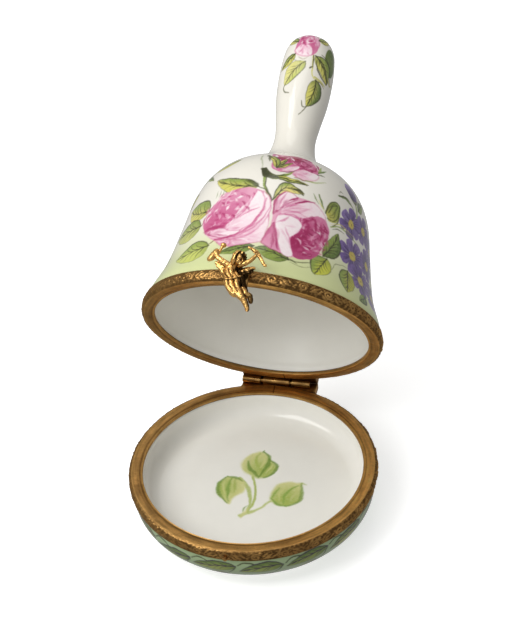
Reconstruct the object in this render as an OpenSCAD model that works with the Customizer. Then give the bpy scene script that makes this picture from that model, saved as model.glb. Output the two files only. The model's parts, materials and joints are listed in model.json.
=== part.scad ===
// Hinged porcelain trinket box in the shape of a hand bell.
// The dome and its handle are the lid, the shallow dish is the base, and both rims are set in brass.
// Millimetres. The dish stands on z = 0 with its foot centred on the origin; the hinge is at +Y.
// The lid is drawn closed in its own modules and turned open about the hinge by opened().

/* [Box] */
// Radius of the base's brass bezel, the widest part of the box
box_r = 28; // [24:0.5:34]
// Height of the base, from the foot to the plane where the box parts
base_h = 13; // [11:0.5:16]
// Height of the lid, from the parting plane to the top of the handle
lid_h = 75; // [65:1:90]
// Thickness of the porcelain in the dome and the handle
wall = 2.2; // [1.8:0.1:2.6]

/* [Dish] */
// Depth of the dish inside, below the parting plane
dish_depth = 6.5; // [5:0.5:8]
// Radius of the fillet between the dish's wall and its floor
dish_fillet = 3.6; // [2:0.2:4.5]
// Outer radius of the foot ring
foot_r = 19.8; // [17:0.2:21]
// Width of the foot ring
foot_w = 2.2; // [1.5:0.1:3]
// Height of the hollow under the dish, inside the foot ring
foot_recess = 3.4; // [2:0.2:3.6]

/* [Brass bezels] */
// Height of each bezel's skirt
bezel_h = 2.8; // [2.2:0.1:3.5]
// Thickness of the flat flange that covers each porcelain rim
flange_t = 0.7; // [0.5:0.05:0.9]
// Thickness of the cement between brass and porcelain
cement_t = 0.2; // [0.1:0.05:0.3]
// Gap between the two flanges when the box is shut
parting_gap = 0.1; // [0.06:0.02:0.2]

/* [Hinge] */
// Angle of the opened lid from shut, where the two hinge leaves meet
open_angle = 63; // [40:0.5:90]
// Length of the whole barrel
barrel_len = 16; // [12:0.5:20]
// How far the barrel is soldered off the middle of its leaves
barrel_shift = -0.7; // [-0.7:0.1:0.7]
// Outer radius of the knuckles
knuckle_r = 0.8; // [0.7:0.05:1]
// Radius of the hinge pin
pin_r = 0.4; // [0.3:0.05:0.5]
// Running clearance of the pin in the middle knuckle
pin_clearance = 0.05; // [0.02:0.01:0.08]
// Gap between neighbouring knuckles
knuckle_gap = 0.45; // [0.2:0.05:0.6]

/* [Clasp] */
// Width of the forked tongue behind the figure
tongue_w = 3.2; // [2.6:0.1:4]
// Radius of the stud that the tongue straddles
stud_r = 0.5; // [0.3:0.05:0.6]

/* [Hidden] */
$fn = 96;

// Bezel radii: the lid's is a little smaller than the base's
lid_r = 0.971 * box_r;
base_in_r = 0.887 * box_r;
lid_in_r = 0.863 * box_r;
skirt_t = 0.55;

// Porcelain rims that sit inside the bezels
base_rim_r = box_r - skirt_t - cement_t;
lid_rim_r = lid_r - skirt_t - cement_t;
rim_in_gap = 0.15;
rim_z = parting_gap / 2 + flange_t + cement_t;

// Hinge line, in the parting plane just behind the bezels
hinge_y = 1.034 * box_r;
leaf_gap = knuckle_r + 0.1;
leaf_half_w = barrel_len / 2 + 0.7;
leaf_rear = 2.2;
leaf_fillet = 2;
stop_clearance = 3;
stop_angle = (open_angle + stop_clearance) / 2;
middle_len = 0.4 * barrel_len;
outer_len = (barrel_len - middle_len) / 2 - knuckle_gap;

// Clasp places, in the shut lid's own frame
stud_z = -1.5;
stud_out = 0.9;
tongue_gap = 0.35;
tongue_t = 0.55;
tongue_back = box_r + tongue_gap;
tongue_front = tongue_back + tongue_t;
tongue_low = -2.5;
tongue_top = 2.2;
notch_half = stud_r + 0.15;

// Outline of the dome and the handle: radius and height above the parting plane, as parts of box_r
// and lid_h
bell_outline = [
    [0.945, 0.037], [0.930, 0.060], [0.857, 0.127], [0.815, 0.187], [0.766, 0.280], [0.717, 0.373],
    [0.639, 0.441], [0.522, 0.493], [0.365, 0.530], [0.255, 0.555], [0.196, 0.585], [0.170, 0.640],
    [0.186, 0.700], [0.213, 0.765], [0.224, 0.830], [0.220, 0.900], [0.195, 0.955], [0.125, 0.989],
    [0, 1]
];

// Outline of the dish: radius as a part of box_r, and height as a part of base_h
dish_outline = [
    [0.973, 0.785], [0.976, 0.660], [0.964, 0.500], [0.929, 0.350], [0.870, 0.210], [0.790, 0.090]
];

// A smooth curve through the points p, with n steps between neighbours
function blend(a, b, c, d, t) =
    0.5 * (2 * b + (c - a) * t + (2 * a - 5 * b + 4 * c - d) * t * t
        + (3 * b - a - 3 * c + d) * t * t * t);
function smooth(p, n) = let (last = len(p) - 1) concat(
    [for (i = [0:last - 1], j = [0:n - 1])
        blend(p[max(i - 1, 0)], p[i], p[i + 1], p[min(i + 2, last)], j / n)],
    [p[last]]
);

// The curve p moved inwards by t, for a wall of even thickness
function inset(p, t) = [
    for (i = [0:len(p) - 1])
        let (d = p[min(i + 1, len(p) - 1)] - p[max(i - 1, 0)], q = p[i] + t * [-d.y, d.x] / norm(d))
        [max(q.x, 0), q.y]
];
function scaled(p, r, h) = [for (q = p) [q.x * r, q.y * h]];
function backwards(p) = [for (i = [len(p) - 1:-1:0]) p[i]];

// The arc of radius r about c from angle a to angle b, in n steps
function arc(c, r, a, b, n) = [
    for (i = [0:n]) let (t = a + (b - a) * i / n) c + r * [cos(t), sin(t)]
];

// Moves a solid from the parting plane's own frame to the base, or to the opened lid
module at_parting() {
    translate([0, 0, base_h]) children();
}
module opened() {
    translate([0, hinge_y, base_h]) rotate([-open_angle, 0, 0]) translate([0, -hinge_y, 0]) children();
}

// One bezel: a flat flange over the rim and a skirt round it, drawn above the plane z = 0
module bezel(out_r, in_r, top_r) {
    rotate_extrude() polygon([
        [in_r, parting_gap / 2], [out_r - 0.35, parting_gap / 2], [out_r - 0.12, parting_gap / 2 + 0.12],
        [out_r, 0.45], [out_r, 1.7], [top_r, bezel_h], [out_r - skirt_t, bezel_h],
        [out_r - skirt_t, parting_gap / 2 + flange_t], [in_r, parting_gap / 2 + flange_t]
    ]);
}

// The cement inside one bezel, between the brass and the rim
module cement(out_r, in_r, rim_r) {
    rotate_extrude() polygon([
        [in_r, rim_z - cement_t], [out_r - skirt_t, rim_z - cement_t], [out_r - skirt_t, bezel_h - 0.1],
        [rim_r, bezel_h - 0.1], [rim_r, rim_z], [in_r, rim_z]
    ]);
}

module base_dish() color("palegoldenrod") {
    outer = smooth(scaled(dish_outline, box_r, base_h), 4);
    floor_z = base_h - dish_depth;
    rim_in = base_in_r + rim_in_gap;
    fillet = arc([rim_in - dish_fillet, floor_z + dish_fillet], dish_fillet, -90, 0, 8);
    rotate_extrude() polygon(concat(
        [[0, foot_recess], [foot_r - foot_w - 1, foot_recess], [foot_r - foot_w, foot_recess - 1]],
        [[foot_r - foot_w, 0], [foot_r, 0], [foot_r + 0.4, 0.5]],
        backwards(outer),
        [[base_rim_r, base_h - rim_z], [rim_in, base_h - rim_z]],
        backwards(fillet),
        [[0, floor_z]]
    ));
}

module base_cement() color("dimgray")
    at_parting() mirror([0, 0, 1]) cement(box_r, base_in_r + rim_in_gap, base_rim_r);

module base_bezel() color("peru")
    at_parting() mirror([0, 0, 1]) bezel(box_r, base_in_r, box_r - 0.2);

module bell_lid() color("mistyrose") opened() {
    outer = smooth(scaled(bell_outline, box_r, lid_h), 3);
    inner = inset(outer, wall);
    rim_in = lid_in_r + rim_in_gap;
    rotate_extrude() polygon(concat(
        [[rim_in, rim_z], [lid_rim_r, rim_z], [lid_rim_r, bezel_h - 0.1]],
        outer,
        backwards(inner)
    ));
}

module lid_cement() color("dimgray")
    opened() cement(lid_r, lid_in_r + rim_in_gap, lid_rim_r);

module lid_bezel() color("peru")
    opened() bezel(lid_r, lid_in_r, lid_r - 0.3);

// One hinge leaf, drawn above the hinge line: a bar behind the bezel whose slanted rear face meets
// the other leaf's when the lid is open, with a fillet into the bezel at each end
module hinge_leaf(ring_r) {
    reach = 3;
    fillet_x = leaf_half_w + leaf_fillet;
    fillet_y = sqrt(pow(ring_r + leaf_fillet, 2) - pow(fillet_x, 2));
    foot_x = fillet_x * ring_r / (ring_r + leaf_fillet) - 0.2;
    difference() {
        union() {
            translate([-leaf_half_w, hinge_y, 0]) rotate([90, 0, 90])
                linear_extrude(2 * leaf_half_w) polygon([
                    [-reach, leaf_gap], [leaf_gap / tan(stop_angle), leaf_gap],
                    [leaf_rear, leaf_rear * tan(stop_angle)], [leaf_rear, bezel_h], [-reach, bezel_h]
                ]);
            translate([-foot_x, fillet_y - leaf_fillet, leaf_gap])
                cube([2 * foot_x, leaf_fillet, bezel_h - leaf_gap]);
        }
        cylinder(r = ring_r, h = 3 * bezel_h, center = true);
        for (side = [-1, 1])
            translate([side * fillet_x, fillet_y, 0]) cylinder(r = leaf_fillet, h = 3 * bezel_h);
    }
}

// One knuckle from x = 0 to len, with a web up to the leaf; bore_r is its hole
module knuckle(len, bore_r) {
    web = 1;
    difference() {
        union() {
            rotate([0, 90, 0]) cylinder(r = knuckle_r, h = len, $fn = 48);
            translate([0, -web / 2, 0]) cube([len, web, leaf_gap]);
        }
        translate([-1, 0, 0]) rotate([0, 90, 0]) cylinder(r = bore_r, h = len + 2, $fn = 48);
    }
}

module base_hinge_leaf() color("darkgoldenrod")
    at_parting() mirror([0, 0, 1]) hinge_leaf(box_r);

module lid_hinge_leaf() color("darkgoldenrod")
    opened() hinge_leaf(lid_r);

module base_knuckle() color("goldenrod")
    at_parting() mirror([0, 0, 1]) translate([barrel_shift - middle_len / 2, hinge_y, 0])
        knuckle(middle_len, pin_r + pin_clearance);

module lid_knuckle_left() color("goldenrod")
    opened() translate([barrel_shift - barrel_len / 2, hinge_y, 0]) knuckle(outer_len, pin_r);

module lid_knuckle_right() color("goldenrod")
    opened() translate([barrel_shift + barrel_len / 2 - outer_len, hinge_y, 0]) knuckle(outer_len, pin_r);

module hinge_pin() color("gold")
    opened() translate([barrel_shift - barrel_len / 2, hinge_y, 0]) rotate([0, 90, 0])
        cylinder(r = pin_r, h = barrel_len, $fn = 48);

// The stud on the base's bezel that the tongue snaps over
module catch_stud() color("gold")
    at_parting() difference() {
        translate([0, -box_r - stud_out, stud_z]) rotate([-90, 0, 0])
            cylinder(r = stud_r, h = stud_out + skirt_t / 2, $fn = 32);
        cylinder(r = box_r, h = 3 * bezel_h, center = true);
    }

// The forked tongue on the lid's bezel: it hangs in front of the base's bezel when the box is shut
module clasp_tongue() color("goldenrod") opened() difference() {
    union() {
        translate([-tongue_w / 2, -tongue_front, tongue_low])
            cube([tongue_w, tongue_t, tongue_top - tongue_low]);
        translate([-tongue_w / 2, -tongue_front, 0.5]) cube([tongue_w, tongue_front - lid_r + 1, 1.2]);
    }
    cylinder(r = lid_r, h = 3 * bezel_h, center = true);
    translate([-notch_half, -tongue_front - 1, tongue_low - 1]) cube([2 * notch_half, 2, stud_z - tongue_low + 1]);
    translate([0, -tongue_front - 1, stud_z]) rotate([-90, 0, 0]) cylinder(r = notch_half, h = 2, $fn = 32);
}

// A rounded limb between two points, r1 and r2 thick
module limb(p, r1, q, r2) {
    hull() {
        translate(p) sphere(r = r1, $fn = 12);
        translate(q) sphere(r = r2, $fn = 12);
    }
}

// The winged child that hides the tongue: arms raised, legs drawn together below the rim
module clasp_figure() color("goldenrod") opened() translate([0, -tongue_front - 1.5, 0]) {
    head_r = 1.6;
    chest = [-2.1, 0, 1.4];
    hip = [-1.8, 0, -1.4];
    lap = [-0.3, -0.3, -3.6];
    knee = [1.7, -0.6, -5.7];
    heel = [2.8, -0.3, -7.6];
    bent_knee = [2.9, -0.1, -4.7];
    left_hand = [-5.6, -0.3, 3.8];
    elbow = [1.8, -0.6, 3.2];
    right_hand = [2.8, -0.3, 4.7];
    translate([-0.8, -0.4, 4]) sphere(r = head_r, $fn = 24);
    limb(chest, 1.4, hip, 1.6);
    limb(hip, 1.6, lap, 1.3);
    limb(lap, 1.3, knee, 0.8);
    limb(knee, 0.8, heel, 0.5);
    limb(lap, 1.3, bent_knee, 0.6);
    limb(bent_knee, 0.6, bent_knee + [0.5, 0.3, -1.3], 0.4);
    limb(chest + [-1.1, 0, 0.6], 0.7, left_hand, 0.55);
    limb(chest + [1.5, 0, 0.7], 0.7, elbow, 0.55);
    limb(elbow, 0.55, right_hand, 0.45);
    limb(left_hand + [-1.6, 0.1, -0.8], 0.5, left_hand + [-0.3, 0, 1.3], 0.5);
    limb(left_hand + [0.1, 0.1, 0.5], 0.35, left_hand + [1, 0.1, 2.8], 0.5);
    limb(right_hand + [-1.8, 0.1, 1.8], 0.3, right_hand + [0.3, 0, 0.4], 0.5);
    limb(right_hand + [0.3, 0, 0.4], 0.5, right_hand + [2.3, 0.1, -2.1], 0.4);
    limb(chest + [-0.6, 0.75, 0.2], 0.6, [-5.2, 0.6, 2], 0.4);
    limb(chest + [1.8, 0.75, -0.2], 0.6, [2.5, 0.6, 1.7], 0.4);
}

base_dish();
base_cement();
base_bezel();
base_hinge_leaf();
base_knuckle();
catch_stud();
bell_lid();
lid_cement();
lid_bezel();
lid_hinge_leaf();
lid_knuckle_left();
lid_knuckle_right();
hinge_pin();
clasp_tongue();
clasp_figure();
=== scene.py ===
"""The looks of a trinket box in the shape of a hand bell: hand-painted porcelain set in chased brass.

Lengths are in millimetres in each piece's own frame, whose z = 0 is the plane where the box parts and
whose lid is shut. place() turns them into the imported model's frame, in metres, with the lid open.
Azimuths are in degrees round the box, 0 at the front and 90 at the right.
"""
import json
from math import cos, pi, radians, sin, sqrt

import bmesh
import bpy
import numpy as np
from mathutils import Matrix, Vector


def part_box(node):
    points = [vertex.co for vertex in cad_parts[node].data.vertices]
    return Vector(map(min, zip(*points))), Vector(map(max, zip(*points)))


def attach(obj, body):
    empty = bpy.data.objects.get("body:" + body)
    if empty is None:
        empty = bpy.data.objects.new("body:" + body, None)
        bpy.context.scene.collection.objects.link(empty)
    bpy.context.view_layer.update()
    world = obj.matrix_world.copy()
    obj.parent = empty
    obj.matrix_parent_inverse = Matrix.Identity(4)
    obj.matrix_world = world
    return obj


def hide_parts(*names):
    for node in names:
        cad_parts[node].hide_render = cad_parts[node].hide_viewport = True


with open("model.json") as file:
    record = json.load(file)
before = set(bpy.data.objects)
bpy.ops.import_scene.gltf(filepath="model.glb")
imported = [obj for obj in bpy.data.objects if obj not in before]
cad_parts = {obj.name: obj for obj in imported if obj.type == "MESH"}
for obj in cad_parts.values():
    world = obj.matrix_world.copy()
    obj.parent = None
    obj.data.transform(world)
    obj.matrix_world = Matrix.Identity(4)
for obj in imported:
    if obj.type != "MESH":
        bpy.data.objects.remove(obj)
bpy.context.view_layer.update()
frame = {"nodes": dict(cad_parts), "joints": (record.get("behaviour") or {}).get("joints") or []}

# ---------------------------------------------------------------- sizes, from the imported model
MM = 0.001
PARTING_GAP = 0.1
BEZEL_LOW, BEZEL_HIGH = (np.array(c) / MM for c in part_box("base_bezel"))
BOX_R = (BEZEL_HIGH[0] - BEZEL_LOW[0]) / 2
BASE_H = BEZEL_HIGH[2] + PARTING_GAP / 2
BEZEL_H = BASE_H - BEZEL_LOW[2]
HINGE = frame["joints"][0]
HINGE_Y = HINGE["pos_m"][1] / MM
OPEN = radians(HINGE["range_deg"][1])


def opened(p):
    """Points of the shut lid turned to where the open lid holds them."""
    y, z = p[:, 1] - HINGE_Y, p[:, 2]
    return np.stack([p[:, 0], HINGE_Y + y * cos(OPEN) + z * sin(OPEN), z * cos(OPEN) - y * sin(OPEN)], 1)


def whole(node):
    """A base node's points, in mm."""
    return np.array([v.co for v in frame["nodes"][node].data.vertices]) / MM


def shut(node):
    """A lid node's points, turned back to where the shut lid holds them."""
    p = whole(node)
    y, z = p[:, 1] - HINGE_Y, p[:, 2] - BASE_H
    return np.stack([p[:, 0], HINGE_Y + y * cos(OPEN) - z * sin(OPEN), y * sin(OPEN) + z * cos(OPEN)], 1)


def place(p, body):
    """Points in a piece's own frame, in mm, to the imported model's frame, in metres."""
    p = np.asarray(p, float).reshape(-1, 3)
    return ((opened(p) if body == "lid" else p) + [0, 0, BASE_H]) * MM


def turn(n, body):
    """Directions in a piece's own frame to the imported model's frame."""
    if body != "lid":
        return n
    return np.stack([n[:, 0], n[:, 1] * cos(OPEN) + n[:, 2] * sin(OPEN),
                     n[:, 2] * cos(OPEN) - n[:, 1] * sin(OPEN)], 1)


LID_H = shut("bell_lid")[:, 2].max()
LID_R = np.hypot(*shut("lid_bezel")[:, :2].T).max()
WALL = 2.2
SKIRT, FLANGE, CEMENT, RIM_IN_GAP, RIM_Z = 0.55, 0.7, 0.2, 0.15, 0.95
KNUCKLE_R, LEAF_GAP = 0.8, 0.9
BASE_IN_R, LID_IN_R = (np.hypot(*p[:, :2].T).min() for p in (whole("base_bezel"), shut("lid_bezel")))
FOOT_R, FOOT_W, FOOT_RECESS = 19.8, 2.2, 3.4
DISH_DEPTH, DISH_FILLET = 6.5, 3.6


# ---------------------------------------------------------------- curves
def smooth(points, steps):
    """A smooth curve through the points, with the given number of steps between neighbours."""
    p = np.asarray(points, float)
    p = np.vstack([p[:1], p, p[-1:]])
    t = (np.arange(steps) / steps)[:, None]
    rows = [0.5 * (2 * b + (c - a) * t + (2 * a - 5 * b + 4 * c - d) * t ** 2
                   + (3 * b - a - 3 * c + d) * t ** 3)
            for a, b, c, d in zip(p, p[1:], p[2:], p[3:])]
    return np.vstack(rows + [p[-1:]])


def along(curve):
    """How far along the curve each of its points is."""
    return np.r_[0, np.cumsum(np.linalg.norm(np.diff(curve, axis=0), axis=1))]


def evenly(curve, step):
    """The curve's points again, about a step apart."""
    s = along(curve)
    at = np.linspace(0, s[-1], max(2, int(round(s[-1] / step)) + 1))
    return np.stack([np.interp(at, s, c) for c in curve.T], 1)


def sides(curve):
    """Unit vectors to the left of a flat curve, point by point."""
    d = np.gradient(curve, axis=0)
    return np.stack([-d[:, 1], d[:, 0]], 1) / np.maximum(np.linalg.norm(d, axis=1), 1e-9)[:, None]


def arc(centre, radius, start, end, steps):
    """An arc in the plane, angles in degrees."""
    a = np.radians(np.linspace(start, end, steps + 1))
    return np.stack([centre[0] + radius * np.cos(a), centre[1] + radius * np.sin(a)], 1)


# Outline of the dome and handle: radius and height as parts of BOX_R and LID_H
BELL = smooth(np.array([
    [0.945, 0.037], [0.930, 0.060], [0.857, 0.127], [0.815, 0.187], [0.766, 0.280], [0.717, 0.373],
    [0.639, 0.441], [0.522, 0.493], [0.365, 0.530], [0.255, 0.555], [0.196, 0.585], [0.170, 0.640],
    [0.186, 0.700], [0.213, 0.765], [0.224, 0.830], [0.220, 0.900], [0.195, 0.955], [0.125, 0.989],
    [0, 1]]) * [BOX_R, LID_H], 12)

# Outline of the dish: radius as a part of BOX_R, and height above the foot as a part of BASE_H
DISH = smooth(np.array([
    [0.973, 0.785], [0.976, 0.660], [0.964, 0.500], [0.929, 0.350], [0.870, 0.210], [0.790, 0.090]
]) * [BOX_R, BASE_H] - [0, BASE_H], 12)


# ---------------------------------------------------------------- meshes
ACROSS, FINE, ROW = 128, 8, 1.1
COLUMNS = ACROSS * FINE


def finish_mesh(name, verts, loops, starts, normals, colours, body, nodes, material, lay=None,
                flat=False):
    """Makes the mesh and its object: lay is a point for each vertex to work out its brushed finish."""
    data = bpy.data.meshes.new(name)
    data.vertices.add(len(verts))
    data.vertices.foreach_set("co", np.asarray(verts, np.float32).ravel())
    data.loops.add(len(loops))
    data.loops.foreach_set("vertex_index", np.asarray(loops, np.int32))
    data.polygons.add(len(starts))
    data.polygons.foreach_set("loop_start", np.asarray(starts, np.int32))
    data.polygons.foreach_set("use_smooth", np.full(len(starts), not flat))
    data.update(calc_edges=True)
    if colours is not None:
        colours, shine = colours[:, :3], colours[:, 3:]
        linear = np.where(colours < 0.04045, colours / 12.92, ((colours + 0.055) / 1.055) ** 2.4)
        shine = shine if shine.size else np.ones((len(verts), 1))
        layer = data.color_attributes.new("paint", "FLOAT_COLOR", "POINT")
        layer.data.foreach_set("color", np.hstack([linear, shine]).astype(np.float32).ravel())
    if lay is not None:
        layer = data.attributes.new("lay", "FLOAT_VECTOR", "POINT")
        layer.data.foreach_set("vector", (lay * MM).astype(np.float32).ravel())
    if normals is not None:
        data.normals_split_custom_set_from_vertices(normals.tolist())
    piece = bpy.data.objects.new(name, data)
    bpy.context.scene.collection.objects.link(piece)
    data.materials.append(material)
    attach(piece, body)
    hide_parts(*nodes)
    return piece


def near_block(flags):
    """Whether each block of four cells, two by two, holds or touches a flagged cell."""
    grown = flags | np.roll(flags, 1, 1) | np.roll(flags, -1, 1)
    grown[1:] |= grown[:-1].copy()
    grown[:-1] |= grown[1:].copy()
    h, w = grown.shape
    return grown.reshape(h // 2, 2, w // 2, 2).any((1, 3))


def cells_to_split(colours, tolerance):
    """For each cell size, which cells of the grid have to be split for the paint to show."""
    splits = []
    rows, columns = colours.shape[0] - 1, colours.shape[1]
    wrapped = np.concatenate([colours, colours[:, :1]], 1)
    size = FINE
    while size > 1:
        corner = wrapped[::size, ::size]
        t = (np.arange(size) + 0.5) / size
        cell = (wrapped[:-1, :-1] * 0.25 + wrapped[1:, :-1] * 0.25
                + wrapped[:-1, 1:] * 0.25 + wrapped[1:, 1:] * 0.25)
        cell = cell.reshape(rows // size, size, columns // size, size, -1)
        a, b, c, d = (corner[i:i + rows // size, j:j + columns // size][:, None, :, None]
                      for i, j in ((0, 0), (0, 1), (1, 0), (1, 1)))
        v, u = t[None, :, None, None, None], t[None, None, None, :, None]
        flat = a * (1 - v) * (1 - u) + b * (1 - v) * u + c * v * (1 - u) + d * v * u
        splits.append(np.abs(cell - flat).max((1, 3, 4)) > tolerance)
        size //= 2
    for k in range(len(splits) - 2, -1, -1):
        splits[k] |= near_block(splits[k + 1])
    return splits


def turned(name, sections, body, node, material, tolerance=0.03):
    """A closed turned piece from one pole to the other, with a finer mesh where its paint has detail.

    Each section is its outline, as radius and height, and the paint for it: a colour, or a function of
    azimuth, distance along the section and radius that gives colours. The unpainted
    inside of the lid shines less than the rest."""
    outline, colours, shine = [], [], []
    azimuth = np.arange(COLUMNS) * 360 / COLUMNS - 180
    for k, (curve, paint) in enumerate(sections):
        rows = max(1, int(round(along(curve)[-1] / ROW))) * FINE
        points = evenly(curve, along(curve)[-1] / rows)
        s = along(points)
        if callable(paint):
            rgb = paint(azimuth, s, points[:, 0])
        else:
            rgb = np.broadcast_to(paint, (rows + 1, COLUMNS, 3))
        last = k == len(sections) - 1
        outline.append(points if last else points[:-1])
        colours.append(rgb if last else rgb[:-1])
        shine.append(np.full(len(outline[-1]), float(callable(paint) or body == "base")))
    outline, colours, shine = np.vstack(outline), np.vstack(colours), np.hstack(shine)
    splits = cells_to_split(colours, tolerance)
    rows = len(outline) - 1
    ids, present = [], []
    here = np.ones((rows // FINE, ACROSS), bool)
    size = FINE
    for level in range(len(splits) + 1):
        split = splits[level] & here if level < len(splits) else np.zeros_like(here)
        r, c = np.nonzero(here & ~split)
        below, above = np.zeros_like(split), np.zeros_like(split)
        below[1:], above[:-1] = split[:-1], split[1:]
        beside = [below, np.roll(split, -1, 1), above, np.roll(split, 1, 1)]
        r0, c0, half = r * size, c * size, size // 2
        spots = [(r0, c0), (r0, c0 + half), (r0, c0 + size), (r0 + half, c0 + size), (r0 + size, c0 + size),
                 (r0 + size, c0 + half), (r0 + size, c0), (r0 + half, c0)]
        ids.append(np.stack([a * COLUMNS + b % COLUMNS for a, b in spots], 1))
        has = np.ones((len(r), 8), bool)
        for k, other in enumerate(beside):
            has[:, 2 * k + 1] = other[r, c]
        has[r == 0, 1:3] = False
        has[r0 + size == rows, 4:6] = False
        present.append(has)
        here = np.repeat(np.repeat(split, 2, 0), 2, 1)
        size //= 2
    ids, present = np.vstack(ids), np.vstack(present)
    ids[ids < COLUMNS] = 0
    ids[ids >= rows * COLUMNS] = rows * COLUMNS
    counts = present.sum(1)
    used, loops = np.unique(ids[present], return_inverse=True)
    starts = np.r_[0, np.cumsum(counts)[:-1]]
    r, a = used // COLUMNS, np.radians(azimuth[used % COLUMNS])
    slope = np.gradient(outline, axis=0)
    slope /= np.maximum(np.linalg.norm(slope, axis=1), 1e-9)[:, None]
    slope[0], slope[-1] = np.sign(slope[1][0]) * np.array([1, 0]), np.sign(slope[-2][0]) * np.array([1, 0])
    p = np.stack([outline[r, 0] * np.sin(a), -outline[r, 0] * np.cos(a), outline[r, 1]], 1)
    n = np.stack([slope[r, 1] * np.sin(a), -slope[r, 1] * np.cos(a), -slope[r, 0]], 1)
    print(name, "faces", len(counts))
    coat = np.column_stack([colours.reshape(-1, 3)[used], shine[r]])
    return finish_mesh(name, place(p, body), loops, starts, turn(n, body), coat,
                       body, [node], material)


def grid(name, points, body, nodes, material, colours=None, lay=None, caps=False, flat=False):
    """A mesh from rows of points; each row closes on itself, and so do the rows unless they end in caps."""
    rows, columns = points.shape[:2]
    r, c = np.meshgrid(np.arange(rows - 1 if caps else rows), np.arange(columns), indexing="ij")
    r1, c1 = (r + 1) % rows, (c + 1) % columns
    quads = np.stack([r * columns + c, r * columns + c1, r1 * columns + c1, r1 * columns + c],
                     -1).reshape(-1, 4)
    loops, starts = list(quads.ravel()), list(np.arange(len(quads)) * 4)
    if caps:
        starts += [len(loops), len(loops) + columns]
        loops += list(range(columns))[::-1] + list(range((rows - 1) * columns, rows * columns))
    return finish_mesh(name, place(points, body), loops, starts, None, colours.reshape(-1, 3), body, nodes,
                       material, None if lay is None else lay.reshape(-1, 3), flat)


# ---------------------------------------------------------------- the painter's tools
PX = 16
rng = np.random.default_rng(7)


def srgb(*values):
    return np.array(values) / 255


CREAM, GLAZE, LIME, SAGE = srgb(231, 227, 216), srgb(236, 234, 226), srgb(208, 214, 156), srgb(172, 194, 146)
BLUSH, PINK, ROSE, WINE = srgb(243, 230, 231), srgb(218, 152, 178), srgb(192, 84, 130), srgb(152, 30, 82)
LEMON, LEAF, MOSS, BARK = srgb(204, 198, 94), srgb(132, 152, 66), srgb(82, 104, 42), srgb(58, 60, 34)
LILAC, VIOLET, INK = srgb(152, 132, 184), srgb(108, 82, 148), srgb(58, 38, 88)
SKY, AZURE = srgb(160, 180, 214), srgb(96, 124, 178)
YOLK, SEPIA = srgb(216, 194, 92), srgb(86, 58, 30)


def mix(a, b, t):
    t = np.clip(np.asarray(t, float), 0, 1)[..., None]
    return a * (1 - t) + b * t


def ramp(x, low, high):
    """0 below low, 1 above high, and a smooth rise between them."""
    t = np.clip((x - low) / (high - low), 0, 1)
    return t * t * (3 - 2 * t)


def cloud(shape, grain):
    """Soft noise from 0 to 1, in blots about grain pixels across, that closes on itself."""
    h, w = shape
    y, x = np.fft.fftfreq(h)[:, None], np.fft.rfftfreq(w)[None, :]
    spread = np.exp(-(x ** 2 + y ** 2) * (grain * 2) ** 2)
    blots = np.fft.irfft2(np.fft.rfft2(rng.standard_normal(shape)) * spread, s=shape)
    return np.clip(0.5 + blots / blots.std() / 4, 0, 1)


def nearest(x, y, curve):
    """For each place, its distance from the curve and how far along it the nearest point is, 0 to 1."""
    a, d = curve[:-1], np.diff(curve, axis=0)
    long2 = np.maximum((d ** 2).sum(1), 1e-12)
    px, py = x[..., None] - a[:, 0], y[..., None] - a[:, 1]
    t = np.clip((px * d[:, 0] + py * d[:, 1]) / long2, 0, 1)
    gap = (px - t * d[:, 0]) ** 2 + (py - t * d[:, 1]) ** 2
    k = gap.argmin(-1)[..., None]
    s = along(curve)
    at = s[:-1][k] + np.take_along_axis(t, k, -1) * np.sqrt(long2)[k]
    return np.sqrt(np.take_along_axis(gap, k, -1))[..., 0], at[..., 0] / s[-1]


def inside(x, y, loop):
    """Whether each place is inside the closed curve."""
    x1, y1 = loop[:, 0], loop[:, 1]
    x2, y2 = np.roll(x1, -1), np.roll(y1, -1)
    over = (y1 > y[..., None]) != (y2 > y[..., None])
    rise = np.where(np.abs(y2 - y1) < 1e-9, 1e-9, y2 - y1)
    return (over & (x[..., None] < (x2 - x1) * (y[..., None] - y1) / rise + x1)).sum(-1) % 2 == 1


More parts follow.
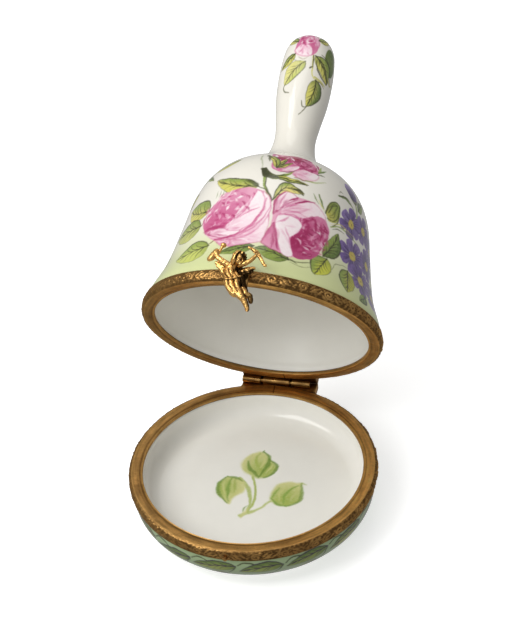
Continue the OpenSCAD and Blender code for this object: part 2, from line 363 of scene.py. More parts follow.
class Sheet:
    """A sheet to paint on: degrees of azimuth across, which closes on itself, and mm up."""

    def __init__(self, low, high, mm_per_degree, ground, wide=360):
        self.low, self.k = low, mm_per_degree
        self.shape = int((high - low) * PX), int(wide * mm_per_degree * PX)
        up = low + (np.arange(self.shape[0]) + 0.5) / PX
        self.rgb = np.repeat(ground(up)[:, None, :], self.shape[1], 1)
        self.grain = cloud(self.shape, 3)

    def smudge(self, reach, grain):
        """Shifts the paint by up to about reach mm, in blots about grain pixels across, as a hand wavers."""
        y, x = np.indices(self.shape)
        h, w = self.shape
        y = np.clip(y + (cloud(self.shape, grain) - 0.5) * 4 * reach * PX, 0, h - 1).astype(int)
        x = (x + (cloud(self.shape, grain) - 0.5) * 4 * reach * PX).astype(int) % w
        soft = self.rgb[y, x]
        soft = (soft + np.roll(soft, 1, 1) + np.roll(soft, -1, 1)) / 3
        self.rgb[1:-1] = (soft[:-2] + soft[1:-1] + soft[2:]) / 3

    def mm(self, points):
        """Points in degrees and mm, to mm both ways."""
        return np.asarray(points, float) * [self.k, 1]

    def window(self, points, pad):
        """The pixels round some points: their rows and columns, and their places in mm."""
        (x0, y0), (x1, y1) = points.min(0) - pad, points.max(0) + pad
        rows = np.arange(max(0, int((y0 - self.low) * PX)), min(self.shape[0], int((y1 - self.low) * PX) + 1))
        half = self.shape[1] / 2
        columns = np.arange(int(x0 * PX + half), int(x1 * PX + half) + 1)
        x, y = np.meshgrid((columns + 0.5 - half) / PX, (rows + 0.5) / PX + self.low)
        return np.ix_(rows, columns % self.shape[1]), x, y

    def lay(self, at, colour, cover):
        """Lays a colour over the sheet as thickly as cover says, 0 to 1."""
        cover = np.clip(cover * (1.12 - 0.3 * self.grain[at]), 0, 1)
        self.rgb[at] += (colour - self.rgb[at]) * cover[..., None]

    def stroke(self, points, width, colour, cover=0.9, fade=None, soft=0.05):
        """One stroke of the brush: width is its width in mm at the start, middle and end."""
        if len(points) < 2:
            return
        curve = smooth(self.mm(points), 6)
        at, x, y = self.window(curve, max(width) / 2 + soft)
        if not x.size:
            return
        gap, t = nearest(x, y, curve)
        half = np.interp(t, [0, 0.5, 1], width) / 2
        colour = colour if fade is None else mix(colour, fade, t)
        self.lay(at, colour, cover * np.clip((half - gap) / soft + 0.5, 0, 1))

    def patch(self, outline, root, near, far, cover=1.0, reach=None, soft=0.12, bias=1.0):
        """A closed patch: colour near at the root point turns to colour far at its rim."""
        loop = smooth(self.mm(list(outline) + [outline[0]]), 6)[:-1]
        at, x, y = self.window(loop, soft)
        if not x.size:
            return
        gap, _ = nearest(x, y, np.vstack([loop, loop[:1]]))
        deep = np.where(inside(x, y, loop), gap, -gap)
        cx, cy = self.mm(root)
        away = np.hypot(x - cx, y - cy)
        reach = reach or np.hypot(*(loop - [cx, cy]).T).max()
        colour = mix(near, far, ramp(away / reach, 0.0, 1.0) ** bias)
        self.lay(at, colour, cover * np.clip(deep / soft + 0.3, 0, 1))

    def petal(self, outline, root, near, far, line, streaks=12, bias=0.6, weight=0.32):
        """A petal: its patch, fine streaks from the root towards its rim, and a thin line round it."""
        self.patch(outline, root, near, far, bias=bias)
        rim = smooth(list(outline) + [outline[0]], 8)[:-1]
        root = np.array(root, float)
        for i in range(3 * streaks):
            end = rim[int((i + rng.uniform(0.2, 0.8)) * len(rim) / (3 * streaks))]
            start, stop = rng.uniform(0.02, 0.45), rng.uniform(0.55, 0.97)
            swing = rng.uniform(-0.07, 0.07) * (end - root)[::-1] * [1, -1]
            path = [root + (end - root) * s + swing * (1 - (2 * s - 1) ** 2)
                    for s in np.linspace(start, stop, 4)]
            tone = (near, mix(near, line, 0.8), far, mix(far, line, 0.45), far)[i % 5]
            self.stroke(path, (0.1, rng.uniform(0.25, 0.75), 0.05), tone, rng.uniform(0.3, 0.75), soft=0.2)
        if weight:
            self.stroke(list(rim[::6]) + [rim[0]], (weight, weight * 0.6, weight), line, 0.45, soft=0.2)

    def leaf(self, base, tip, wide, bend=0.0, light=LEMON, dark=LEAF, shade=1, veins=4, line=BARK, ink=0.9):
        """A leaf: wide is its half width in mm to the left and right of its rib, bend bows the rib."""
        ends = self.mm([base, tip])
        across = sides(ends)[0]
        t = np.linspace(0, 1, 17)
        rib = ends[0] + (ends[1] - ends[0]) * t[:, None] + across * (bend * np.sin(pi * t))[:, None]
        body = np.sin(pi * t ** 0.8) ** 0.75
        left, right = (rib + side * across * (w * body)[:, None] for side, w in zip((1, -1), wide))
        loop = np.vstack([left, right[-2:0:-1]])
        at, x, y = self.window(loop, 0.2)
        gap, _ = nearest(x, y, np.vstack([loop, loop[:1]]))
        deep = np.where(inside(x, y, loop), gap, -gap)
        _, s = nearest(x, y, rib)
        middle = ends[0] + (ends[1] - ends[0]) * s[..., None] + across * (bend * np.sin(pi * s))[..., None]
        side = ((x - middle[..., 0]) * across[0] + (y - middle[..., 1]) * across[1])
        side = side / np.interp(s, t, body + 0.15) / max(wide)
        colour = mix(light, dark, ramp(side * shade, -0.2, 0.75))
        colour = mix(colour, dark * 0.8, 0.5 * ramp(-s, -0.4, 0))
        self.lay(at, colour, 0.95 * np.clip(deep / 0.12 + 0.4, 0, 1))
        k = 1 / self.k
        deg = lambda p: np.asarray(p) * [k, 1]
        for edge, w in ((left, wide[0]), (right, wide[1])):
            for v in range(veins):
                s0 = 0.1 + 0.72 * (v + rng.uniform(0.1, 0.5)) / veins
                s1 = min(0.97, s0 + 0.26)
                p0, p1 = (np.stack([np.interp(q, t, c) for c in rib.T]) for q in (s0, s1))
                e1 = np.stack([np.interp(s1, t, c) for c in edge.T])
                end = p1 + (e1 - p1) * rng.uniform(0.7, 0.98)
                bow = (p0 + end) / 2 + (end - p0)[::-1] * [1, -1] * (0.1 if w == wide[0] else -0.1)
                self.stroke(deg([p0, bow, end]), (0.2, 0.2, 0.03), line, ink * rng.uniform(0.6, 1.0))
        self.stroke(deg(rib[::2]), (0.32, 0.22, 0.06), line, ink)
        self.stroke(deg((left if shade > 0 else right)[::2]), (0.14, 0.34, 0.1), line, ink * 0.9)
        self.stroke(deg((right if shade > 0 else left)[::2]), (0.06, 0.18, 0.05), line, ink * 0.6)
        self.lay(at, light * 1.05, 0.35 * ramp(-np.hypot((s - 0.55) * 3, side + 0.35 * shade), -0.6, 0)
                 * (deep > 0.1))

    def daisy(self, centre, radius, petals=6, squash=1.0, start=0, light=LILAC, mid=VIOLET, dark=INK):
        """A flower seen from above, squash times as wide as it is tall."""
        cx, cy = centre
        k = squash / self.k
        spot = lambda r, a: (cx + r * k * cos(a), cy + r * sin(a))
        for i in range(petals):
            a = radians(start) + 2 * pi * i / petals
            half, long = pi / petals * 0.98, radius * rng.uniform(0.9, 1.06)
            outline = [spot(0.1 * radius, a), spot(0.62 * long, a - half), spot(0.95 * long, a - 0.66 * half),
                       spot(long, a), spot(0.95 * long, a + 0.66 * half), spot(0.62 * long, a + half)]
            self.patch(outline, centre, mid * 0.72, mix(mid, light, rng.uniform(0.0, 0.6)), bias=0.8)
            for s in np.linspace(-0.8, 0.8, 9):
                b = a + s * half * 0.9
                tone = dark if rng.random() < 0.55 else light
                self.stroke([spot(0.28 * radius, b), spot(0.6 * radius, b + 0.05), spot(0.86 * long, b)],
                            (0.1, 0.17, 0.02), tone, rng.uniform(0.3, 0.7), soft=0.07)
            self.stroke([spot(0.2 * radius, a + half), spot(0.6 * radius, a + half * 0.98),
                         spot(0.88 * long, a + half * 0.8)], (0.1, 0.16, 0.06), dark, 0.7)
        r = 0.27 * radius
        ring = [spot(r, radians(q)) for q in range(0, 360, 45)]
        self.patch(ring, centre, YOLK, YOLK * 0.92, soft=0.1)
        self.stroke(ring + ring[:1], (0.08, 0.08, 0.08), SEPIA, 0.35)
        for i in range(9):
            a, q = rng.uniform(0, 2 * pi), rng.uniform(0, 0.5) * r
            dot = spot(q, a)
            self.stroke([dot, (dot[0] + 0.1 * k, dot[1] + 0.05)], (0.14, 0.14, 0.1), SEPIA, 0.6)

    def heart(self, centre, size, tones, count, lean=0.0):
        """The crowded middle of a rose: short crooked strokes, dark ones first and light ones last."""
        cx, cy = centre
        turn_to = np.array([[cos(lean), -sin(lean)], [sin(lean), cos(lean)]])
        for layer, tone in enumerate(tones):
            for i in range(count):
                a, q = rng.uniform(0, 2 * pi), sqrt(rng.uniform(0.0, 0.95))
                spot = np.array([size[0] * q * cos(a), size[1] * q * sin(a)])
                b = a + pi / 2 + rng.uniform(-0.9, 0.9)
                long = rng.uniform(0.4, 1.1)
                bow = rng.uniform(-0.35, 0.35)
                step = np.array([cos(b), sin(b)]) * long
                path = [spot - step, spot + bow * np.array([-step[1], step[0]]), spot + step]
                path = [turn_to @ p for p in path]
                self.stroke([(cx + p[0] / self.k, cy + p[1]) for p in path],
                            (0.1, rng.uniform(0.3, 0.75), 0.08), tone, rng.uniform(0.4, 0.9), soft=0.15)


# ---------------------------------------------------------------- the dome's painting
DOME_TOP = 47.0


def dome_ground(up):
    return mix(LIME, CREAM, ramp(up, 2.0, 19.0))


def left_rose(s):
    s.patch([(-37, 15), (-34, 19), (-28, 21.7), (-20, 23.2), (-8, 23.6), (3, 21.5), (5.5, 18.5), (5, 12),
             (2, 9), (-8, 7.6), (-15, 7.3), (-22, 8.8), (-31, 11.4)], (-20, 17), PINK, PINK)
    s.petal([(-23, 9.2), (-14, 9.3), (-6, 10), (0, 13), (4.5, 17), (5.5, 13), (4, 9.6), (0, 8.6), (-8, 7.7),
             (-16, 7.3)], (-14, 9), PINK, BLUSH, ROSE, 16)
    s.petal([(-1, 22.7), (3, 21.5), (5.3, 18.6), (4.5, 16), (1, 13.2), (-4, 11), (-12, 9.4), (-20, 9.6),
             (-8, 11.5), (-1, 15)], (-12, 10), PINK, BLUSH, ROSE, 12)
    s.petal([(-32, 12), (-25, 12.8), (-18, 12.5), (-10, 12), (-12, 10.8), (-18, 10.2), (-25, 10.5)],
            (-30, 11), PINK, BLUSH, WINE, 6)
    s.patch([(-36, 15), (-33, 19), (-28, 21.5), (-18, 23), (-6, 23.2), (-7, 20), (-9, 17.5), (-14, 15),
             (-18, 13.2), (-28, 12.4), (-33, 12.4)], (-24, 13), ROSE, PINK)
    s.heart((-20, 18), (7.2, 5.0), (PINK, BLUSH, WINE * 0.4 + ROSE * 0.6, PINK, BLUSH, ROSE), 22, lean=0.35)
    s.petal([(-5, 23), (-1, 22.2), (0.8, 20), (0.3, 17.3), (-3, 14.4), (-8, 12.4), (-14, 11.7), (-19, 12.6),
             (-18, 14), (-13, 15.6), (-9, 17.8), (-7.2, 20.4)], (-18, 12.6), mix(PINK, BLUSH, 0.55), BLUSH,
            ROSE, 10)
    s.stroke([(1.5, 21), (1, 17.8), (-2.5, 14.3), (-8, 11.6), (-15, 10.2), (-21, 9.9)], (0.2, 0.65, 0.25),
             ROSE, 0.75, soft=0.25)
    s.stroke([(5, 19), (2, 15.5), (-3, 12.5), (-9, 10.6)], (0.15, 0.4, 0.1), ROSE, 0.6, soft=0.2)
    s.stroke([(-33, 12.2), (-27, 13.2), (-19, 13.1)], (0.3, 1.0, 0.2), WINE, 0.6, soft=0.35)
    s.stroke([(-23, 9.5), (-18, 9.8), (-11, 10.4)], (0.5, 0.5, 0.1), WINE, 0.6, soft=0.2)
    for spot in ((-10, 18.4), (-24, 16.8), (-17, 16.2), (-27, 20), (-13, 19.8), (-29, 17), (-11, 21.6)):
        s.stroke([spot, (spot[0] + 1.8, spot[1] - 0.4), (spot[0] + 2.6, spot[1] - 1.1)], (0.2, 0.6, 0.1),
                 WINE, 0.6, soft=0.2)


def right_rose(s):
    s.patch([(6, 20.5), (10, 22.8), (18, 22.8), (28, 22.2), (36, 20.5), (41.8, 17), (41, 14.5), (36, 9.6),
             (31, 7), (24, 6.3), (14, 7), (5, 9), (7, 14)], (20, 15), PINK, PINK)
    s.petal([(4, 9), (5, 10.6), (7, 13), (9, 14.8), (11, 12), (13, 9.2), (15, 7), (10, 7.5)], (8, 14), ROSE,
            PINK, WINE, 12)
    s.petal([(12, 19), (20, 20.9), (28, 22.2), (34, 21.4), (39, 19.2), (36, 18.4), (30, 17.7), (24, 17.2),
             (16, 17.2), (10, 17.5)], (10, 17.6), PINK, BLUSH, ROSE, 14)
    s.petal([(7.4, 17), (7, 20), (8.5, 22.2), (12, 23.2), (17, 23.1), (20, 22.3), (17, 21), (13, 19.8),
             (9.5, 18)], (8, 17.4), mix(ROSE, PINK, 0.5), BLUSH, WINE, 10)
    s.patch([(25, 17.4), (30, 18.4), (34, 19.2), (38.5, 18.8), (41.5, 17), (41, 15), (39, 12.3), (36, 9.6),
             (32, 7.3), (27, 6.4), (22, 6.5), (20.5, 8.5), (19, 11), (21, 13), (24, 15)], (22, 11), WINE,
            mix(ROSE, PINK, 0.5))
    s.heart((30, 13), (4.3, 5.6), (WINE, ROSE, WINE * 0.92, PINK, WINE), 20, lean=-0.35)
    s.heart((31, 12.4), (3.2, 4.6), (BLUSH, ROSE, PINK), 12, lean=-0.35)
    s.petal([(10, 16.9), (15, 17.3), (21, 17), (24.8, 15.6), (23.5, 13.8), (20, 12.2), (18.6, 11),
             (20.5, 8.6),
             (21.4, 6.8), (18, 6.2), (15, 7), (12.5, 9.8), (10.5, 12.8), (9.2, 15)], (10, 15), BLUSH * 0.97,
            BLUSH, ROSE, 5)
    s.stroke([(7.6, 17), (7.1, 20), (8.8, 22.2), (12.5, 23.2)], (0.2, 0.5, 0.2), WINE, 0.7, soft=0.15)
    s.stroke([(19, 20.7), (24, 21.8), (31, 22.3)], (0.2, 0.5, 0.1), WINE, 0.8, soft=0.15)
    s.stroke([(15.5, 21.2), (18, 21.9), (20.5, 22.6)], (0.15, 0.6, 0.15), WINE, 0.8, soft=0.15)
    s.stroke([(12, 18.6), (15, 19.5), (20, 20.5)], (0.1, 0.4, 0.1), ROSE, 0.6, soft=0.2)
    s.stroke([(14, 17.3), (20, 17.6), (26, 15.6), (26, 14)], (0.1, 0.35, 0.2), ROSE, 0.6, soft=0.2)
    s.stroke([(8.5, 14.5), (10.5, 11.5), (13, 7.8)], (0.3, 0.5, 0.2), WINE, 0.6, soft=0.2)
    s.stroke([(8, 14), (6.2, 11.5), (4.5, 9.4)], (0.3, 0.4, 0.1), ROSE, 0.7, soft=0.2)
    s.stroke([(15.5, 14), (17.2, 12.6), (18.8, 11.2)], (0.05, 0.3, 0.2), ROSE, 0.5, soft=0.2)
    for a, b, c in (((20, 11.6), (22, 11), (23.5, 10.2)), ((25.5, 14.4), (27.5, 13.8), (28, 12.8)),
                    ((32, 18), (32.6, 16.4), (33.5, 14.6)), ((36, 17), (37, 15.4), (36.4, 13)),
                    ((27, 17), (28.4, 15.6), (28, 14)), ((25, 8.6), (28, 8), (31, 8.6))):
        s.stroke([a, b, c], (0.3, 0.7, 0.2), WINE, 0.75, soft=0.2)


def top_rose(s):
    s.patch([(-6, 37.4), (2, 36.8), (10, 37), (20, 37.4), (28, 36.4), (32, 34), (33, 31), (24, 29.8),
             (14, 29.4),
             (6, 29), (0, 30), (-2, 33.5)], (18, 34), ROSE, mix(ROSE, PINK, 0.7))
    s.petal([(-2.6, 36.4), (1, 35.6), (3.4, 33), (4, 30), (2, 29.6), (0.4, 31)], (2, 30), PINK, BLUSH,
            ROSE, 6)
    s.patch([(-6, 37.6), (-1, 37), (4, 35.6), (10, 37), (20, 37.3), (20, 34), (16, 33.4), (8, 34.2),
             (4, 33.4),
             (1, 35.6)], (8, 35), WINE, mix(WINE, ROSE, 0.4))
    s.heart((6, 34.8), (3.4, 1.6), (WINE, PINK, WINE, BLUSH), 7)
    s.heart((24, 33.6), (4.2, 3.0), (WINE, ROSE, WINE * 0.9, PINK, WINE), 12)
    s.petal([(5, 29.4), (10, 30.6), (16, 31.8), (19, 32), (17, 30.6), (12, 29.2)], (5, 29.4), PINK, BLUSH,
            ROSE, 6)
    s.petal([(13, 29.2), (20, 31), (28, 30.9), (33, 30.4), (30, 28.6), (24, 27.7), (18, 28)], (15, 29), PINK,
            BLUSH, ROSE, 8)
    for a, b, c in (((20, 33), (22, 31.8), (26, 31.2)), ((28, 31.4), (31, 32), (32.6, 33.5)),
                    ((5, 35), (8, 34), (13, 34)), ((14, 36.6), (19, 36), (24, 36.4))):
        s.stroke([a, b, c], (0.2, 0.5, 0.2), WINE, 0.75, soft=0.15)
    s.leaf((3.5, 30.4), (9, 34.4), (0.7, 0.7), 0.2, veins=2, shade=-1)
    s.leaf((3.5, 30.2), (14, 33), (0.6, 0.6), -0.2, veins=2)
    s.stroke([(6, 28.9), (12, 29.3), (17, 30.2)], (0.1, 0.3, 0.1), BARK, 0.6)
    s.stroke([(16, 27.9), (22, 27.6), (28, 28)], (0.2, 0.35, 0.1), SEPIA, 0.5, soft=0.1)
    s.stroke([(24, 27.7), (31, 28), (38, 29)], (0.4, 0.35, 0.1), LEAF, 0.6, soft=0.15)


def stems(s):
    s.stroke([(-3, 28.5), (-2.2, 25.5), (1, 22.6), (4.6, 20.4)], (0.75, 0.6, 0.4), LEAF, 0.95)
    s.stroke([(-1.6, 28), (-1, 25), (1.6, 22.7), (4.8, 20.6)], (0.4, 0.25, 0.2), BARK, 0.75)
    s.leaf((3.5, 30), (-7.5, 35.6), (0.9, 1.2), -1.0, LEMON, LEAF, shade=-1, veins=2)
    s.stroke([(-7.4, 35.6), (-5.6, 35), (-3.4, 32.6)], (0.9, 0.9, 0.2), BARK, 0.7, soft=0.2)
    s.stroke([(-12.5, 35.6), (-11, 33.6), (-8, 31.6), (-6.6, 29.8)], (0.5, 0.3, 0.1), MOSS, 0.4, soft=0.3)
    s.patch([(-7, 29.6), (-4, 29.9), (0, 28.4), (5, 27.8), (10, 28.6), (15, 29.6), (9, 27.2), (3, 26.4),
             (-3, 26.9), (-6, 28)], (-4, 28.6), BARK, LEAF)
    s.stroke([(-6.6, 29.4), (-3, 27.8), (3, 27.1), (9, 28)], (0.8, 0.7, 0.2), BARK, 0.75, soft=0.15)
    s.leaf((4, 27.2), (26, 26.6), (0.75, 0.6), -0.2, LEMON, LEAF, shade=-1, veins=3)
    s.stroke([(17, 26.8), (21, 26.7), (25, 26.3)], (0.4, 0.6, 0.1), BARK, 0.7)
    s.stroke([(33, 31.6), (35, 33), (37, 34.6)], (0.3, 0.8, 0.1), LEAF, 0.8)
    s.stroke([(33, 31.4), (36, 32.4), (41.5, 33.6)], (0.3, 0.7, 0.1), MOSS, 0.85)
    s.stroke([(32, 30.6), (35, 31), (38, 31)], (0.3, 0.5, 0.1), BARK, 0.55)
    s.stroke([(29, 24.6), (31, 23.6), (33.5, 22.4)], (0.1, 0.35, 0.1), MOSS, 0.6)
    s.stroke([(33.4, 24.8), (34.8, 23.4), (37.5, 21.5)], (0.35, 0.45, 0.1), MOSS, 0.75)
    s.stroke([(33, 23.4), (35, 22.4), (38, 21)], (0.1, 0.3, 0.1), LEMON, 0.7)
    for x in (-33.5, -31, -28.6):
        s.stroke([(x, 23.4), (x + 0.6, 22.4), (x + 0.2, 21.6)], (0.05, 0.25, 0.05), MOSS, 0.45, soft=0.12)
    s.stroke([(-6.5, 24.2), (-1, 23.4), (3.6, 21.6), (5.2, 20.2)], (0.25, 0.35, 0.2), BARK, 0.75)
    s.stroke([(-37, 14.6), (-35.6, 16.8), (-33.4, 19)], (0.25, 0.35, 0.2), BARK, 0.6, soft=0.1)
    s.stroke([(-26, 8.4), (-22.5, 9.4), (-20.5, 8.2)], (0.2, 0.4, 0.1), SEPIA, 0.6, soft=0.12)


def front_leaves(s):
    s.leaf((-4.5, 24), (-39, 27), (2.2, 2.0), 1.0, LEMON, LEAF, shade=-1, veins=5)
    s.stroke([(-6, 24.4), (-10, 25.2), (-16, 25.6)], (0.9, 1.0, 0.1), BARK, 0.6, soft=0.3)
    s.leaf((-35, 18.4), (-57.5, 20.4), (2.4, 3.4), 0.9, LEMON, LEAF, shade=-1, veins=5)
    s.leaf((-37.5, 14.4), (-62, 13.4), (3.2, 2.8), 0.0, srgb(186, 190, 100), LEAF, shade=-1, veins=5)
    s.leaf((-25.5, 8), (-46.5, 5.4), (3.6, 2.8), 0.0, srgb(196, 204, 96), LEAF, shade=-1, veins=5)
    s.leaf((0.5, 7.8), (-17, 5.2), (1.6, 1.3), 0.0, LEAF, MOSS, shade=-1, veins=4)
    s.leaf((19.5, 5.2), (1, 7.4), (2.2, 1.6), -0.3, LEAF, MOSS, shade=-1, veins=4)
    s.stroke([(19, 5), (24, 5.2), (29, 5.8), (33, 6.6)], (0.2, 0.3, 0.1), BARK, 0.55)
    s.stroke([(20, 4.6), (26, 4.1), (31, 4.8)], (0.1, 0.2, 0.1), BARK, 0.45)
    s.stroke([(19, 5.6), (21, 5.3), (24, 4.6)], (0.4, 0.5, 0.1), BARK, 0.6)
    s.leaf((5.4, 20.6), (23.6, 23.8), (1.6, 1.7), 2.3, srgb(222, 208, 120), LEAF, shade=1, veins=4)
    s.stroke([(17, 24.6), (20, 24.3), (23.4, 23.4)], (0.3, 0.9, 0.2), BARK, 0.7, soft=0.15)
    s.leaf((38.6, 9.4), (48.4, 17), (1.5, 2.2), -0.5, LEAF, MOSS, shade=-1, veins=6)
    s.leaf((41, 9), (33, 3.2), (2.3, 2.4), 0.0, srgb(196, 198, 60), LEAF, shade=-1, veins=5)
    s.leaf((56, 8.6), (53, 2), (2.0, 2.2), 0.0, srgb(180, 178, 58), LEAF, shade=-1, veins=6)
    s.stroke([(44, 6.4), (46.5, 8.6), (50, 9), (55, 9.2)], (0.1, 0.2, 0.1), BARK, 0.5)
    for out, loop in ((0.0, 1.0), (0.55, 0.62)):
        s.stroke([(38.8, 20.6), (40.6 + out, 23.2 - out), (44.5, 24.6 - out), (48.6 - 3 * out, 24 - out),
                  (48.2 - 5 * out, 21.6), (44.5, 19.4 + 2 * out), (39.8 + 3 * out, 19.6 + out)],
                 (0.3, 0.3, 0.25), BARK, 0.7 * loop)


def bud(s):
    s.patch([(38.4, 21), (40.4, 23.6), (45, 24.7), (49, 24), (49.4, 21.6), (46, 19.2), (41, 19)], (40, 19.6),
            LEMON * 0.92, LEAF * 0.95)
    s.stroke([(40.6, 21), (43.4, 23.2), (47.6, 23.9)], (0.2, 0.4, 0.1), BARK, 0.7)
    s.stroke([(41, 20.4), (44, 21.2), (46.6, 23)], (0.1, 0.3, 0.1), BARK, 0.45)
    s.stroke([(48.5, 21.5), (47.5, 19.6), (43.6, 17.7)], (0.2, 0.35, 0.2), BARK, 0.7)
    s.stroke([(43, 17.6), (49, 18.6), (56, 18.2), (66, 17)], (0.3, 0.35, 0.2), LEAF, 0.8)
    s.stroke([(44, 17.2), (48, 17.9), (53, 17.6)], (0.1, 0.25, 0.1), BARK, 0.6)
    s.stroke([(43, 18.2), (50, 19.4), (56, 18.8), (64, 18.3)], (0.1, 0.4, 0.1), LEMON, 0.7)


def violet_bunch(s):
    s.stroke([(48.6, 26.9), (54, 27.3), (58, 26.6), (62.6, 25.4)], (0.5, 0.6, 0.2), MOSS, 0.85)
    s.stroke([(49, 27), (55, 27.6), (60, 26.6)], (0.3, 0.3, 0.1), BARK, 0.75)
    s.stroke([(49.4, 27.9), (51, 28.4), (53.4, 28.2)], (0.15, 0.35, 0.1), BARK, 0.5)
    s.stroke([(64, 20), (66, 24), (66, 28)], (0.5, 0.7, 0.5), LEAF, 0.8)
    s.daisy((74, 22), 4.0, 6, start=10)
    s.daisy((78, 14), 4.0, 6, start=40)
    s.daisy((59.5, 21.2), 4.1, 6, start=20)
    s.daisy((60.6, 13.2), 4.5, 7, start=5)
    s.daisy((68, 8.2), 4.2, 6, start=30)
    s.daisy((88, 19), 3.8, 6, start=15)
    s.daisy((82, 6.4), 3.9, 6, start=50)
    s.leaf((90, 11), (103, 9), (1.8, 1.6), 0.4, LEMON, LEAF, veins=5)
    s.leaf((68, 26), (78, 29.4), (1.0, 1.2), 0.3, LEAF, MOSS, veins=3)
    s.leaf((70, 4.4), (62, 1.8), (1.2, 1.0), 0.2, LEAF, MOSS, veins=3)
    s.patch([(57, 31.4), (60, 33), (66, 33), (70, 31), (69, 29), (65, 28.2), (61, 28.6)], (63, 28.6), INK,
            LILAC)
    for x in (58.5, 61.5, 65, 68):
        s.stroke([(63.5, 28.4), (x, 30.6), (x - 0.8, 32.4)], (0.1, 0.35, 0.1), INK, 0.5, soft=0.12)
    s.stroke([(61, 28.6), (65.5, 27.8), (70, 29)], (0.3, 0.9, 0.3), BARK, 0.65, soft=0.2)


def left_side(s):
    s.leaf((-30, 34.4), (-50, 30.8), (1.0, 1.1), 0.4, LEMON, LEAF, shade=-1, veins=3, ink=0.45)
    s.leaf((-58, 30), (-44, 27.6), (0.5, 0.6), 0.3, LEAF, MOSS, veins=2, ink=0.5)
    s.leaf((-62, 28), (-50, 31), (0.6, 0.5), -0.3, LEAF, MOSS, veins=2, ink=0.5)
    for centre, radius, start in (((-76, 24), 3.3, 0), ((-87, 17), 3.9, 35), ((-73, 15), 3.0, 20),
                                  ((-97, 25), 3.4, 10), ((-101, 11), 3.7, 50), ((-84, 7.4), 3.2, 15)):
        s.daisy(centre, radius, 5, start=start, light=SKY, mid=AZURE, dark=INK)
    s.leaf((-66, 22), (-57, 25.6), (1.1, 1.2), 0.3, veins=3)
    s.leaf((-70, 9), (-60, 5.6), (1.5, 1.7), 0.3, veins=4)
    s.leaf((-92, 31), (-106, 33.4), (0.9, 0.9), -0.5, veins=3)
    s.leaf((-110, 18), (-124, 21.6), (1.5, 1.7), 0.5, veins=5)
    s.leaf((-108, 6), (-123, 5.2), (1.6, 1.8), 0.3, veins=5)
    s.leaf((-88, 31), (-76, 33.2), (0.8, 0.8), 0.5, veins=3)


def back_rose(s):
    """A smaller rose for the side away from the photo's camera."""
    at = lambda x, y: (165 + x, 15 + y)
    s.leaf(at(-14, 2), at(-36, 6), (2.0, 2.2), 0.8, veins=5, shade=-1)
    s.leaf(at(14, -2), at(35, -5), (2.0, 2.2), 0.6, veins=5)
    s.leaf(at(-12, -5), at(-32, -8), (1.8, 2.0), -0.5, veins=5)
    s.leaf(at(6, 8), at(20, 15), (1.5, 1.6), 0.8, veins=4)
    s.leaf(at(14, 4), at(34, 7), (1.7, 1.6), -0.6, veins=4)
    s.stroke([at(2, 8), at(0, 13), at(-6, 19)], (0.6, 0.45, 0.35), LEAF, 0.9)
    s.petal([at(-17, -2), at(-12, -7), at(-2, -9), at(9, -8), at(16, -3), at(10, -1), at(0, -3), at(-9, -1)],
            at(0, -2), PINK, BLUSH, ROSE, 18)
    s.petal([at(-15, 0), at(-16, 4), at(-11, 7.6), at(-2, 8.6), at(-5, 3), at(-8, -1.6)], at(-6, 0), PINK,
            BLUSH,
            ROSE, 12)
    s.petal([at(-3, 8.6), at(6, 8.4), at(13, 5.6), at(15.5, 1), at(11, -2.4), at(6, 2)], at(4, 1), PINK,
            BLUSH,
            ROSE, 12)
    s.patch([at(-9, 0), at(-8, 4.6), at(-2, 6.6), at(5, 5.6), at(8.6, 1), at(5, -4), at(-3, -5)],
            at(0, 0), ROSE,
            PINK)
    s.heart(at(-0.5, 0.7), (3.2, 4.4), (ROSE, WINE, ROSE, PINK, BLUSH, WINE), 16, lean=0.2)
    s.petal([at(-8.6, -1), at(-4, -3.4), at(3, -3.6), at(8, -1), at(5, -5.6), at(-3, -6.8), at(-8, -4.4)],
            at(0, -2.8), PINK, BLUSH, WINE, 8)
    for x, y, r in ((-6, 21, 1.0), (-11, 23.4, 0.8)):
        s.daisy(at(x, y), r, 5)
    s.leaf(at(-3, 19), at(-2, 23.4), (0.7, 0.7), 0.3, veins=2)


# ---------------------------------------------------------------- the handle's painting
HANDLE_LOW = 46.0


def handle_ground(up):
    return mix(CREAM, CREAM, up * 0)


